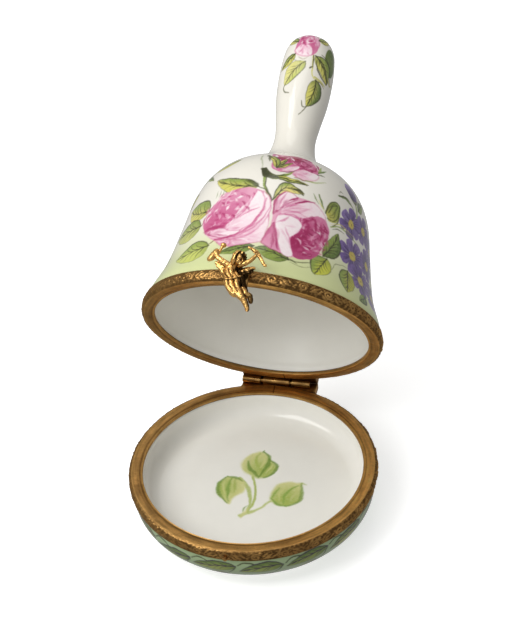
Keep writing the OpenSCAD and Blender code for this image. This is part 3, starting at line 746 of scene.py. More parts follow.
def handle_leaves(s):
    s.patch([(46, 72), (52, 75), (66, 76), (80, 74.5), (84, 71), (70, 68.6), (56, 69.6)], (60, 72),
            LEAF * 0.8,
            MOSS)
    s.leaf((24, 72.4), (62, 66.2), (1.9, 1.5), 0.6, LEMON, LEAF, shade=1, veins=4)
    s.stroke([(28, 71.4), (32, 69), (46, 67.2), (58, 66.4)], (0.2, 0.35, 0.2), BARK, 0.8)
    s.stroke([(34, 71.8), (50, 70), (63, 67), (60, 66.2)], (0.2, 0.4, 0.2), BARK, 0.8)
    s.stroke([(38, 73), (56, 72), (70, 69), (73, 66.6)], (0.2, 0.35, 0.15), BARK, 0.6)
    s.stroke([(30, 66.8), (44, 66.2), (58, 65.6)], (0.5, 0.7, 0.2), LEMON * 0.9, 0.8, soft=0.15)
    s.stroke([(64, 68), (74, 66.8), (82, 67)], (0.4, 0.6, 0.2), LEMON * 0.8, 0.7, soft=0.15)
    s.stroke([(19, 72.4), (20, 70), (22, 67.6), (30, 66.2)], (0.3, 0.3, 0.2), LEMON, 0.8)
    s.stroke([(20, 72.4), (20.5, 70.6), (21, 69)], (0.25, 0.3, 0.1), BARK, 0.7)
    s.stroke([(15, 68.8), (19, 69.3)], (0.3, 0.35, 0.3), BARK, 0.7)
    s.leaf((33, 66.2), (24, 59.2), (2.1, 1.7), 0.5, LEMON, MOSS, shade=1, veins=5)
    s.stroke([(33, 66), (44, 65.9), (58, 65)], (0.2, 0.2, 0.1), BARK, 0.7)
    s.stroke([(24, 59.4), (19, 58.2), (8, 57)], (0.3, 0.22, 0.2), BARK, 0.65, soft=0.08)
    s.stroke([(10, 60.4), (14, 59.2), (24, 59.1)], (0.15, 0.25, 0.2), BARK, 0.75)
    s.leaf((4, 70.4), (-36, 64.2), (1.6, 2.2), -0.5, srgb(218, 212, 130), srgb(186, 196, 96), shade=1,
           veins=5,
           ink=0.6)
    s.stroke([(-34, 64.6), (-38, 63.6), (-33, 62.7), (-23, 62.3)], (0.2, 0.3, 0.3), BARK, 0.65, soft=0.08)
    s.leaf((-22, 72.6), (-58, 68.8), (1.1, 1.0), 0.2, LEMON, LEAF, shade=-1, veins=4)
    s.stroke([(-26, 71.4), (-18, 70.6), (-6, 70.4)], (0.2, 0.2, 0.1), BARK, 0.35, soft=0.15)
    s.stroke([(-14, 71.6), (-2, 71), (8, 71.8)], (0.2, 0.25, 0.1), SEPIA, 0.3, soft=0.15)
    for x, length in ((-92, 9), (-128, 7), (-168, 10), (152, 7.5), (112, 8.5)):
        s.leaf((x, 73), (x - 14, 73 - length), (1.7, 1.9), 0.5, shade=-1, veins=5)
        s.stroke([(x, 73), (x + 8, 74.6), (x + 20, 75.6)], (0.35, 0.25, 0.15), MOSS, 0.8)


def handle_bud(s):
    """The rosebud that the leaves hang from, above the part of the handle that the photo shows."""
    s.patch([(-26, 73.5), (-16, 72.2), (0, 71.8), (18, 72.4), (28, 74.5), (27, 78), (12, 80.6), (-8, 80.8),
             (-24, 78)], (0, 75), ROSE, PINK)
    s.petal([(-26, 73.6), (-16, 72.2), (0, 71.8), (16, 72.6), (8, 75), (-10, 75.4)], (-4, 75), PINK,
            BLUSH, ROSE,
            8)
    s.heart((1, 77), (2.0, 2.3), (ROSE, WINE, PINK, ROSE, BLUSH), 9)
    s.petal([(27, 74.6), (29, 77), (22, 80), (12, 80.8), (18, 77)], (18, 76), PINK, BLUSH, ROSE, 6)
    s.leaf((-24, 76), (-58, 78.6), (1.1, 1.2), 0.6, veins=3, shade=-1)
    s.leaf((28, 77), (66, 79), (1.1, 1.1), -0.5, veins=3)


# ---------------------------------------------------------------- the dish's painting
DISH_TOP = 11.2


def dish_ground(up):
    # Painted shade: the sage ground darkens towards the foot, where the dish's outside faces down
    return mix(SAGE * 0.92, SAGE * 0.8, ramp(up, 0, 8))


def wreath(s):
    """Leaves that chase each other round the dish; up is measured from its rim downwards."""
    count = 16
    for i in range(count):
        a = -30 + 360 / count * i
        low = rng.uniform(-0.3, 0.4)
        light = 0.9 * mix(LEMON, LEAF, rng.uniform(0.2, 0.9))
        s.leaf((a + 11, 2.0 + low), (a - 10, 3.6 + low), (1.5, 1.9), rng.uniform(-0.5, 0.6), light, MOSS,
               shade=1, veins=5, line=INK * 0.5 + BARK * 0.35, ink=0.95)
        s.leaf((a + 6, 5.2 + low), (a - 6, 8.6 + low), (1.5, 1.5), rng.uniform(-0.5, 0.5), light * 0.95, MOSS,
               shade=-1, veins=4, line=INK * 0.5 + BARK * 0.35, ink=0.9)
        s.stroke([(a + 12, 1.8 + low), (a + 15.5, 0.9), (a + 20, 1.4), (a + 22, 2.6)], (0.3, 0.35, 0.2),
                 BARK * 0.8, 0.75)
        s.stroke([(a + 11, 2.4 + low), (a + 9, 4), (a + 6, 5.4 + low)], (0.35, 0.3, 0.2), BARK * 0.8, 0.75)
    for a in (78, 118, 168, -152, -104, -62):
        s.daisy((a, 5.6), 1.9, 5, start=a, light=SKY, mid=AZURE, dark=INK)


def floor_ground(up):
    return mix(GLAZE, GLAZE, up * 0)


def floor_buds(s):
    """Three green buds on joined stems, painted wet; across and up are mm from the dish's centre."""
    pale, mid, deep = srgb(208, 206, 142), srgb(160, 176, 86), srgb(104, 134, 56)
    s.stroke([(-1, 3), (0, 0), (0.8, -3), (0.9, -5.5), (0.3, -8.4)], (0.55, 0.6, 0.5), mid, 0.85, soft=0.2)
    s.stroke([(-4, 1.9), (-2.5, 0.7), (-0.9, -1.8), (0.1, -5), (0.1, -8.6)], (1.0, 0.8, 0.5), mid, 0.75,
             soft=0.3)
    s.stroke([(4.6, -4.2), (3.2, -6.3), (1.5, -8.1), (-0.2, -9), (-1.2, -9.8)], (0.5, 0.7, 1.2),
             mix(mid, pale, 0.3),
             0.8, soft=0.3)
    s.stroke([(-0.9, -8.2), (-0.7, -7.2), (-0.3, -6.5)], (0.3, 0.5, 0.1), deep, 0.6, soft=0.2)
    s.stroke([(0.2, -7.4), (-0.6, -9), (-1, -10.4)], (0.5, 1.1, 0.4), pale, 0.7, soft=0.4)
    s.patch([(-1, 2.9), (-3, 4), (-4.6, 5.6), (-4.8, 7.6), (-3.8, 9.6), (-2.5, 11), (-1, 11.6), (0.6, 10.9),
             (1.8, 9.3), (3.2, 8), (3.8, 6.4), (3.2, 4.5), (2, 3.2), (0.5, 2.6)], (1.2, 5.4), mid, pale,
             soft=0.7)
    for path, wide, tone in ((((-0.4, 11.6), (1.1, 10.2), (1.5, 8), (1.0, 5.6), (0.3, 3.4)), 0.9, deep),
                             (((1.5, 9.2), (3.3, 8), (3.6, 6.2), (2.9, 4.3), (1.4, 3.1)), 0.8, deep),
                             (((-3.2, 7.8), (-2.5, 5.8), (-0.8, 4.2), (0.2, 3)), 0.9, deep),
                             (((-1.1, 11), (-1.6, 9), (-0.9, 7), (0.2, 5.6)), 0.7, mid),
                             (((-2.6, 10.6), (-3, 8.6), (-2.4, 6.8)), 0.6, pale * 0.95),
                             (((0.2, 9.6), (0.4, 7.8), (-0.1, 6.2)), 0.8, pale),
                             (((2.3, 7.4), (2.2, 6.2), (1.7, 5)), 0.6, pale),
                             (((-0.6, 11.2), (-0.2, 12.1)), 0.3, deep)):
        s.stroke(path, (wide * 0.5, wide, wide * 0.4), tone, 0.75, soft=0.3)
    s.patch([(-6.8, 2.4), (-7.8, 1), (-8.6, -1), (-8.4, -2.8), (-7.5, -4.2), (-6, -5.5), (-4.6, -6.7),
             (-4.2, -6),
             (-3.9, -4.4), (-3, -3.4), (-2, -2.6), (-1.9, -0.8), (-2.5, 1), (-4, 2)], (-7.6, -1.6), mid, pale,
            soft=0.6)
    for path, wide, tone in ((((-6.9, 2.3), (-8, 0.4), (-8.2, -2), (-7.2, -4), (-5, -6.2)), 0.9, deep),
                             (((-6.6, 2.2), (-5, 2.1), (-3.2, 1.2)), 0.8, deep),
                             (((-5.8, 1.8), (-6, -1), (-5.6, -3.4), (-4.8, -5.6)), 0.9, deep * 1.1),
                             (((-5, 1.6), (-4.4, -0.6), (-4.2, -2.8)), 0.6, mid * 0.95),
                             (((-7.2, 0.6), (-7, -1.6), (-6.4, -3.6)), 0.6, pale),
                             (((-5.2, -3), (-5, -4.4), (-4.8, -5.2)), 0.5, pale)):
        s.stroke(path, (wide * 0.4, wide, wide * 0.3), tone, 0.7, soft=0.3)
    s.patch([(4.2, -3.8), (3.9, -2), (4.3, 0), (5.3, 1.8), (7, 2.7), (9, 2.7), (10.4, 2.8), (10.9, 1),
             (11.2, -0.5),
             (11.5, -2), (10.8, -3.8), (9.3, -5), (7.5, -5.6), (5.7, -5.2)], (8, -3.6), mid, pale, soft=0.7)
    for path, wide, tone in ((((10.2, 2.6), (10.8, 0.4), (11.2, -2), (10.2, -4.2), (8, -5.3)), 0.9, deep),
                             (((8.4, -5.3), (6.2, -5), (4.7, -3.4)), 0.8, deep * 1.1),
                             (((4.5, -3.4), (5, -1.6), (5.6, 0.2)), 0.7, deep * 1.15),
                             (((9.8, 1.6), (8.2, 0), (7.4, -2.4), (7.6, -4.6)), 0.8, deep * 1.15),
                             (((10.2, 0.4), (9.4, -1.6), (9, -3.6)), 0.6, pale * 0.95),
                             (((6.6, 0.4), (6.2, -1.6), (6.4, -3.8)), 0.6, pale),
                             (((10.2, 2.7), (11.6, 2.1)), 0.4, mid)):
        s.stroke(path, (wide * 0.4, wide, wide * 0.3), tone, 0.65, soft=0.3)


# ---------------------------------------------------------------- materials
def material(name, base, rough, metal=0.0, coat=0.0):
    """A Principled material, its shader node and a helper that adds and links nodes."""
    m = bpy.data.materials.new(name)
    m.use_nodes = True
    tree = m.node_tree
    shader = tree.nodes["Principled BSDF"]
    shader.inputs["Base Color"].default_value = (*base, 1)
    shader.inputs["Roughness"].default_value = rough
    shader.inputs["Metallic"].default_value = metal
    shader.inputs["Coat Weight"].default_value = coat

    def add(kind, inputs=None, **settings):
        node = tree.nodes.new(kind)
        for key, value in settings.items():
            setattr(node, key, value)
        for key, value in (inputs or {}).items():
            if isinstance(value, bpy.types.NodeSocket):
                tree.links.new(value, node.inputs[key])
            else:
                node.inputs[key].default_value = value
        return node
    return m, shader, add, tree.links.new


def porcelain():
    m, shader, add, link = material("porcelain", (0.8, 0.8, 0.78), 0.1, coat=0.0)
    paint = add("ShaderNodeVertexColor", layer_name="paint")
    place_in = add("ShaderNodeTexCoord").outputs["Object"]
    mottle = add("ShaderNodeTexNoise", {"Vector": place_in, "Scale": 260, "Detail": 4, "Roughness": 0.6})
    shade = add("ShaderNodeMapRange", {"Value": mottle.outputs["Fac"], "To Min": 0.965, "To Max": 1.02})
    colour = add("ShaderNodeVectorMath", {0: paint.outputs["Color"], 1: shade.outputs["Result"]},
                 operation="MULTIPLY")
    link(colour.outputs["Vector"], shader.inputs["Base Color"])
    waves = add("ShaderNodeTexNoise", {"Vector": place_in, "Scale": 90, "Detail": 3})
    dull = add("ShaderNodeMapRange", {"Value": paint.outputs["Alpha"], "To Min": 0.45, "To Max": 0.16})
    shiny = add("ShaderNodeMapRange", {"Value": paint.outputs["Alpha"], "To Min": 0.3, "To Max": 0.07})
    rough = add("ShaderNodeMapRange", {"Value": waves.outputs["Fac"], "From Min": 0.3, "From Max": 0.7,
                                       "To Min": shiny.outputs["Result"], "To Max": dull.outputs["Result"]})
    link(rough.outputs["Result"], shader.inputs["Roughness"])
    bump = add("ShaderNodeBump", {"Height": waves.outputs["Fac"], "Strength": 0.12, "Distance": 0.0004})
    link(bump.outputs["Normal"], shader.inputs["Normal"])
    return m


def brass(name, base, rough, brushed):
    """Aged brass: its colour is in the paint layer; brushed adds fine lines round the ring."""
    m, shader, add, link = material(name, base, rough, metal=1.0)
    shader.inputs["Specular Tint"].default_value = (0.85, 0.72, 0.58, 1)
    paint = add("ShaderNodeVertexColor", layer_name="paint")
    place_in = add("ShaderNodeTexCoord").outputs["Object"]
    stain = add("ShaderNodeTexNoise", {"Vector": place_in, "Scale": 420, "Detail": 5, "Roughness": 0.65})
    fleck = stain.outputs["Fac"]
    if brushed:
        lay = add("ShaderNodeAttribute", attribute_name="lay")
        lines = add("ShaderNodeTexNoise", {"Vector": lay.outputs["Vector"], "Scale": 240, "Detail": 4,
                                           "Roughness": 0.7})
        fleck = add("ShaderNodeMath", {0: stain.outputs["Fac"], 1: lines.outputs["Fac"]}, operation="ADD")
        fleck = add("ShaderNodeMath", {0: fleck.outputs[0], 1: 0.5}, operation="MULTIPLY").outputs[0]
    tone = add("ShaderNodeMapRange", {"Value": fleck, "From Min": 0.3, "From Max": 0.7, "To Min": 0.62,
                                      "To Max": 1.22})
    colour = add("ShaderNodeVectorMath", {0: paint.outputs["Color"], 1: tone.outputs["Result"]},
                 operation="MULTIPLY")
    link(colour.outputs["Vector"], shader.inputs["Base Color"])
    gloss = add("ShaderNodeMapRange", {"Value": fleck, "From Min": 0.3, "From Max": 0.7,
                                       "To Min": rough + 0.12,
                                       "To Max": rough - 0.08})
    link(gloss.outputs["Result"], shader.inputs["Roughness"])
    pits = add("ShaderNodeTexNoise", {"Vector": place_in, "Scale": 1600, "Detail": 3})
    height = add("ShaderNodeMath", {0: pits.outputs["Fac"], 1: fleck}, operation="ADD")
    bump = add("ShaderNodeBump", {"Height": height.outputs[0], "Strength": 0.35, "Distance": 0.0001})
    link(bump.outputs["Normal"], shader.inputs["Normal"])
    return m


def cement():
    m, shader, add, link = material("grout", (0.09, 0.075, 0.06), 0.85)
    place_in = add("ShaderNodeTexCoord").outputs["Object"]
    grit = add("ShaderNodeTexNoise", {"Vector": place_in, "Scale": 900, "Detail": 4})
    shade = add("ShaderNodeMapRange", {"Value": grit.outputs["Fac"], "To Min": 0.5, "To Max": 1.5})
    colour = add("ShaderNodeVectorMath", {0: (0.1, 0.085, 0.065), 1: shade.outputs["Result"]},
                 operation="MULTIPLY")
    link(colour.outputs["Vector"], shader.inputs["Base Color"])
    bump = add("ShaderNodeBump", {"Height": grit.outputs["Fac"], "Strength": 0.5, "Distance": 0.0001})
    link(bump.outputs["Normal"], shader.inputs["Normal"])
    return m


grout = cement()
for node in ("base_cement", "lid_cement"):
    piece = frame["nodes"][node]
    piece.data.materials.clear()
    piece.data.materials.append(grout)


# ---------------------------------------------------------------- porcelain
def inset(curve, t):
    """A curve moved to its left by t, and kept off the far side of the axis."""
    p = curve + sides(curve) * t
    p[:, 0] = np.maximum(p[:, 0], 0)
    return p


def sample(sheet, across, up):
    """The sheet's colours at each place; across and up broadcast against each other."""
    y = np.clip((up - sheet.low) * PX - 0.5, 0, sheet.shape[0] - 1.001)
    x = across * sheet.k * PX + sheet.shape[1] / 2 - 0.5
    y, x = np.broadcast_arrays(y, x)
    i, j = np.floor(y).astype(int), np.floor(x).astype(int)
    v, u = (y - i)[..., None], (x - j)[..., None]
    j, j1 = j % sheet.shape[1], (j + 1) % sheet.shape[1]
    return ((sheet.rgb[i, j] * (1 - u) + sheet.rgb[i, j1] * u) * (1 - v)
            + (sheet.rgb[i + 1, j] * (1 - u) + sheet.rgb[i + 1, j1] * u) * v)


def bell_colours(azimuth, s, radius):
    s = s[:, None]
    return np.where((s < HANDLE_LOW + 0.5)[..., None], sample(dome, azimuth, s), sample(handle, azimuth, s))


def dish_colours(azimuth, s, radius):
    return sample(dish, azimuth, s[:, None])


def floor_colours(azimuth, s, radius):
    a, r = np.radians(azimuth), radius[:, None]
    return sample(floor_sheet, r * np.sin(a), -r * np.cos(a))


dome = Sheet(0.0, DOME_TOP, radians(22), dome_ground)
handle = Sheet(HANDLE_LOW, 85.0, radians(6), handle_ground)
dish = Sheet(0.0, DISH_TOP, radians(27), dish_ground)
floor_sheet = Sheet(-14.0, 14.0, 1.0, floor_ground, wide=44)
for sheet, paints, waver in (
        (dome, (left_side, back_rose, violet_bunch, bud, front_leaves, top_rose, stems, left_rose,
                right_rose), 0.07),
        (handle, (handle_leaves, handle_bud), 0.05), (dish, (wreath,), 0.07),
        (floor_sheet, (floor_buds,), 0.08)):
    for paint in paints:
        paint(sheet)
    sheet.smudge(waver, 18)

rim_in, rim_out = LID_IN_R + RIM_IN_GAP, LID_R - SKIRT - CEMENT
inner = inset(BELL, WALL)
inner[-1, 0] = 0
porcelain_look = porcelain()
turned("bell_lid_painted", [
    (inner[::-1], GLAZE), (np.array([inner[0], [rim_in, RIM_Z]]), GLAZE),
    (np.array([[rim_in, RIM_Z], [rim_out, RIM_Z]]), GLAZE),
    (np.array([[rim_out, RIM_Z], [rim_out, BEZEL_H - 0.1], BELL[0]]), GLAZE),
    (BELL, bell_colours)], "lid", "bell_lid", porcelain_look)

# The dish: its floor and wall inside, its rim, its painted outside, then its foot
rim_in, rim_out = BASE_IN_R + RIM_IN_GAP, BOX_R - SKIRT - CEMENT
floor_z = -DISH_DEPTH
turned("base_dish_painted", [
    (np.array([[0, floor_z], [rim_in - DISH_FILLET, floor_z]]), floor_colours),
    (arc((rim_in - DISH_FILLET, floor_z + DISH_FILLET), DISH_FILLET, -90, 0, 24), GLAZE),
    (np.array([[rim_in, floor_z + DISH_FILLET], [rim_in, -RIM_Z]]), GLAZE),
    (np.array([[rim_in, -RIM_Z], [rim_out, -RIM_Z]]), GLAZE),
    (np.array([[rim_out, -RIM_Z], DISH[0]]), GLAZE),
    (DISH, dish_colours),
    (np.array([DISH[-1], [FOOT_R + 0.4, 0.5 - BASE_H], [FOOT_R, -BASE_H]]), GLAZE),
    (np.array([[FOOT_R, -BASE_H], [FOOT_R - FOOT_W, -BASE_H]]), GLAZE),
    (np.array([[FOOT_R - FOOT_W, -BASE_H], [FOOT_R - FOOT_W, FOOT_RECESS - 1 - BASE_H],
               [FOOT_R - FOOT_W - 1, FOOT_RECESS - BASE_H]]), GLAZE),
    (np.array([[FOOT_R - FOOT_W - 1, FOOT_RECESS - BASE_H], [0, FOOT_RECESS - BASE_H]]), GLAZE)],
    "base", "base_dish", porcelain_look)


# ---------------------------------------------------------------- brass: bezels, hinge, clasp
GOLD, GOLD_DARK, GOLD_WARM = srgb(208, 164, 98), srgb(70, 48, 24), srgb(180, 128, 72)
RING_COLUMNS, RELIEF, ROLL = 1152, 0.11, 0.65


def scroll(s, a, flip):
    """One unit of the chased border: a C-scroll, a split leaf that grows from it, and punched dots."""
    up = lambda z: z if flip > 0 else BEZEL_H - z
    high = np.array([1.0, 1.0, 1.0])
    turns = np.linspace(0, 1, 16)
    coil = [(a + (1.15 - 0.85 * t) * cos(5.2 * t * pi / 2 + 0.6) / s.k,
             up(1.35 + (0.95 - 0.65 * t) * sin(5.2 * t * pi / 2 + 0.6))) for t in turns]
    s.stroke(coil, (0.34, 0.3, 0.42), high, 1.0, soft=0.14)
    for x0, z0, x1, z1, w in ((1.5, 0.7, 3.6, 1.0, 0.5), (2.0, 0.9, 3.8, 2.0, 0.55),
                              (1.6, 1.3, 2.8, 2.4, 0.5),
                              (3.4, 0.6, 4.6, 1.6, 0.4), (-1.5, 1.9, -0.6, 2.5, 0.35),
                              (0.6, 2.3, 1.5, 2.2, 0.3)):
        middle = ((x0 + x1) / 2, (z0 + z1) / 2 + 0.18)
        s.stroke([(a + x0 / s.k, up(z0)), (a + middle[0] / s.k, up(middle[1])), (a + x1 / s.k, up(z1))],
                 (0.12, w, 0.08), high * rng.uniform(0.8, 1), 1.0, soft=0.14)
    for x, z in ((4.9, 2.1), (5.1, 1.5), (-1.9, 1.2)):
        s.stroke([(a + x / s.k, up(z)), (a + (x + 0.1) / s.k, up(z))], (0.3, 0.3, 0.3), high * 0.9, 1.0,
                 soft=0.12)


def chased():
    """The border's relief, 0 low to 1 high, over azimuth and height."""
    s = Sheet(0.0, BEZEL_H + 0.2, radians(27.5), lambda up: np.full((len(up), 3), 0.22))
    s.rgb += (cloud(s.shape, 2)[..., None] - 0.5) * 0.35
    units = 26
    for i in range(units):
        scroll(s, -180 + 360 * (i + rng.uniform(-0.06, 0.06)) / units, 1 if i % 2 else -1)
    worn = cloud(s.shape, 22)[..., None]
    s.rgb = s.rgb * (0.55 + 0.6 * ramp(worn, 0.25, 0.6)) + 0.25 * (1 - ramp(worn, 0.25, 0.6))
    s.rgb = (s.rgb + np.roll(s.rgb, 1, 1) + np.roll(s.rgb, -1, 1)) / 3
    return s


def bezel(name, node, body, up, out_r, in_r, top_r, seam, painted_side_light):
    """One bezel; up is 1 for the lid's and -1 for the base's. seam is the azimuth where its strip is
    joined, and the last argument is how bright its flat face is painted at the back, the left, the front
    and the right, as painted light and shade that differ round the ring."""
    half = PARTING_GAP / 2
    low = lambda a, b, n: np.linspace(a, b, n, endpoint=False)
    outer = BEZEL_H - 0.1
    outline = np.vstack([
        low((in_r + 0.12, half), (out_r - ROLL, half), 16),
        arc((out_r - ROLL, half + ROLL), ROLL, -90, 0, 8)[:-1],
        low((out_r, half + ROLL), (out_r, 1.7), 11), low((out_r, 1.7), (top_r, outer), 11),
        low((top_r, outer), (top_r - 0.12, BEZEL_H), 2),
        low((top_r - 0.12, BEZEL_H), (out_r - SKIRT, BEZEL_H), 2),
        low((out_r - SKIRT, BEZEL_H), (out_r - SKIRT, half + FLANGE), 4),
        low((out_r - SKIRT, half + FLANGE), (in_r, half + FLANGE), 5),
        low((in_r, half + FLANGE), (in_r, half + 0.12), 3), low((in_r, half + 0.12), (in_r + 0.12, half), 2)])
    face = (outline[:, 1] < half + 0.02) & (outline[:, 0] < out_r - ROLL + 0.05)
    inward = np.clip((out_r - 1.2 - outline[:, 0]) / (out_r - 1.2 - in_r), 0, 1)
    outline[:, 1] += face * 0.2 * inward ** 2.2
    azimuth = np.arange(RING_COLUMNS) * 360 / RING_COLUMNS - 180
    shape = (len(outline), RING_COLUMNS)
    height = sample(chased(), azimuth[None, :], outline[:, 1][:, None])[..., 0]
    # The left front faces the light: its chasing is rubbed flatter there and is given less painted shade
    # below
    rubbed_lit_side = np.exp(-((azimuth + 62) / 48) ** 2)
    height = 0.55 + (height - 0.55) * (1 - 0.55 * rubbed_lit_side) + 0.5 * (cloud(shape, 2) - 0.5)
    outside = ramp(outline[:, 0], out_r - ROLL - 0.05, out_r - ROLL * 0.5)
    outside = outside * ramp(-outline[:, 1], -BEZEL_H + 0.02, -BEZEL_H + 0.25)
    rings = cloud(shape, 5) - 0.5
    shift = outside[:, None] * (height - 0.45) * 2 * RELIEF
    a = np.radians(azimuth)[None, :]
    gap = np.abs((azimuth[None, :] - seam + 180) % 360 - 180)
    joint = np.exp(-(gap / 0.22) ** 2)
    r = outline[:, 0][:, None] + shift + 0.02 * rings * (1 - face[:, None]) * outside[:, None]
    z = outline[:, 1][:, None] + face[:, None] * (0.04 * rings + 0.1 * joint)
    z = np.maximum(z, 0.03) * up
    points = np.stack([r * np.sin(a), -r * np.cos(a), np.broadcast_to(z, r.shape)], -1)
    # Painted shade in the chasing's low spots, lighter on the left front, and a painted highlight on its high
    # points
    shaded_low_spots = ramp(0.56 - height, -0.08, 0.34) * outside[:, None] * (0.75 - 0.35 * rubbed_lit_side)
    tone = mix(GOLD * 0.95, GOLD_DARK, shaded_low_spots)
    tone = mix(tone, GOLD * 1.15, 0.7 * ramp(height, 0.7, 0.95) * outside[:, None])
    blush = cloud(shape, 30)
    tone = mix(tone, GOLD_WARM * 0.75, (0.2 + 0.35 * blush) * (1 - shaded_low_spots))
    scuff = cloud(shape, 2)
    for _ in range(3):
        scuff = (scuff + np.roll(scuff, 3, 1) + np.roll(scuff, -4, 1) + np.roll(scuff, 9, 1)) / 4
    scuff = (scuff - scuff.mean()) / scuff.std()
    # Painted light and shade on the flat face, set for each side of the ring, with fine scuffs along it
    shine = np.interp(azimuth, (-180, -90, 0, 90, 180), painted_side_light + painted_side_light[:1])[None, :] * (1 + 0.06 * scuff)
    tone = tone * (1 + face[:, None] * (shine - 1))[..., None]
    band = lambda r, wide: (np.exp(-((outline[:, 0] - r) / wide) ** 2) * face)[:, None]
    # Painted highlight along the inner lip, painted shade in the groove beside it, and a painted highlight
    # where the face rolls over its outer edge
    tone = mix(tone, GOLD * 1.1, band(in_r + 0.2, 0.2) * 0.7)
    tone = mix(tone, GOLD_DARK, band(in_r + 0.66, 0.14) * 0.4)
    tone = mix(tone, GOLD * 1.15, band(out_r - ROLL, 0.22) * 0.45)
    tone = mix(tone, GOLD_DARK, joint * face[:, None] * 0.9)
    if up < 0:
        points = points[::-1]
        tone = tone[::-1]
    lay = np.stack([points[..., 0], points[..., 1], r * 14], -1)
    return grid(name, points, body, [node], ring_look, np.clip(tone, 0, 1), lay)


ring_look = brass("bezel_brass", (0.55, 0.34, 0.13), 0.36, True)
bezel("lid_bezel_chased", "lid_bezel", "lid", 1, LID_R, LID_IN_R, LID_R - 0.3, 176.4, (1.1, 0.9, 1.2, 0.85))
bezel("base_bezel_chased", "base_bezel", "base", -1, BOX_R, BASE_IN_R, BOX_R - 0.2, -178.4,
      (1.2, 1.1, 1.1, 1.4))

hinge_look = brass("hinge_brass", (0.6, 0.38, 0.15), 0.32, False)


def shaped(name, node, body, look, bevel, tone):
    """A CAD node's shape again, with its edges broken and its own finish."""
    mesh = bmesh.new()
    mesh.from_mesh(frame["nodes"][node].data)
    bmesh.ops.remove_doubles(mesh, verts=mesh.verts, dist=1e-7)
    bmesh.ops.dissolve_limit(mesh, angle_limit=radians(0.5), verts=mesh.verts, edges=mesh.edges)
    sharp = [e for e in mesh.edges if len(e.link_faces) == 2 and e.calc_face_angle() > radians(28)]
    bmesh.ops.bevel(mesh, geom=sharp, offset=bevel * MM, segments=2, profile=0.6, affect="EDGES",
                    clamp_overlap=True)
    data = bpy.data.meshes.new(name)
    mesh.to_mesh(data)
    mesh.free()
    data.polygons.foreach_set("use_smooth", [True] * len(data.polygons))
    data.set_sharp_from_angle(angle=radians(40))
    co = np.array([v.co for v in data.vertices]) / MM
    stain = 0.5 + 0.5 * np.sin(co @ [2.1, 3.3, 1.7] + 2 * np.sin(co @ [0.9, -1.2, 2.4]))
    rgb = mix(GOLD * tone, GOLD_WARM * tone * 0.7, stain)
    linear = np.where(rgb < 0.04045, rgb / 12.92, ((rgb + 0.055) / 1.055) ** 2.4)
    layer = data.color_attributes.new("paint", "FLOAT_COLOR", "POINT")
    layer.data.foreach_set("color", np.hstack([linear, np.ones((len(co), 1))]).astype(np.float32).ravel())
    piece = bpy.data.objects.new(name, data)
    bpy.context.scene.collection.objects.link(piece)
    data.materials.append(look)
    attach(piece, body)
    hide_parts(node)
    return piece


# The last number scales each piece's brass colour; the clasp tongue's lower value is painted shade
shaped("base_hinge_leaf_filed", "base_hinge_leaf", "base", hinge_look, 0.12, 1.15)
shaped("lid_hinge_leaf_filed", "lid_hinge_leaf", "lid", hinge_look, 0.12, 1.0)
shaped("hinge_pin_domed", "hinge_pin", "lid", hinge_look, 0.1, 1.1)
shaped("catch_stud_turned", "catch_stud", "base", hinge_look, 0.12, 1.05)
shaped("clasp_tongue_filed", "clasp_tongue", "lid", hinge_look, 0.1, 0.9)


def knuckle(name, node, body, x0, x1, seam):
    """A knuckle rolled from strip: a barrel with turned ends and a joint line, on its web to the leaf."""
    web, columns = 0.5, 48
    ends = 0.1
    stations = [(x0, KNUCKLE_R - 0.35), (x0, KNUCKLE_R - ends), (x0 + ends * 0.3, KNUCKLE_R - ends * 0.3),
                (x0 + ends, KNUCKLE_R)]
    stations += [(x0 + (x1 - x0) * t, KNUCKLE_R - 0.015 * sin(9 * t)) for t in np.linspace(0.08, 0.92, 12)]
    stations += [(x1 - ends, KNUCKLE_R), (x1 - ends * 0.3, KNUCKLE_R - ends * 0.3), (x1, KNUCKLE_R - ends),
                 (x1, KNUCKLE_R - 0.35)]
    a = np.arange(columns) * 2 * pi / columns
    off = (np.degrees(a) - seam + 180) % 360 - 180
    groove = 0.07 * np.exp(-(off / 6) ** 2)
    points = np.array([[(x, HINGE_Y + (r - g) * cos(b), (r - g) * sin(b)) for b, g in zip(a, groove)]
                       for x, r in stations])
    streak = cloud((len(stations), columns), 3)
    tone = mix(GOLD * 1.08, GOLD_WARM * 0.8, streak * 0.8)
    tone = mix(tone, GOLD_DARK, np.broadcast_to(groove / 0.08, streak.shape))
    # Painted shade: the barrel's colour is scaled by 0.9 and its turned ends by 0.6, darker where the
    # knuckles meet
    end_shade = np.array([0.9 if 0.02 < (x - x0) < (x1 - x0) - 0.02 else 0.6 for x, _ in stations])[:, None, None]
    grid(name, points[::-1], body, [node], hinge_look, (tone * end_shade)[::-1], None, caps=True)
    up = 1 if body == "lid" else -1
    box = np.array([[(x, HINGE_Y + y, z * up) for y, z in ((-web, 0.2), (web, 0.2), (web, LEAF_GAP + 0.05),
                                                          (-web, LEAF_GAP + 0.05))]
                    for x in (x0 + 0.05, x1 - 0.05)])
    box = box if up < 0 else box[::-1]
    # The web is coloured dark as painted shade, tucked between the barrel and its leaf
    grid(name + "_web", box, body, [], hinge_look,
         np.broadcast_to(GOLD_WARM * 0.6, box.shape), None,
         caps=True, flat=True)


for side, body, seam in (("lid_knuckle_left", "lid", 60), ("base_knuckle", "base", 300),
                         ("lid_knuckle_right", "lid", 60)):
    low_x, high_x = (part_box(side)[k][0] / MM for k in (0, 1))
    knuckle(side + "_rolled", side, body, low_x, high_x, seam)




# ---------------------------------------------------------------- the clasp's winged child
CURLS, GOLDEN_ANGLE = 46, 2.39996

FIGURE_Y = -shut("clasp_tongue")[:, 1].min() + 1.5


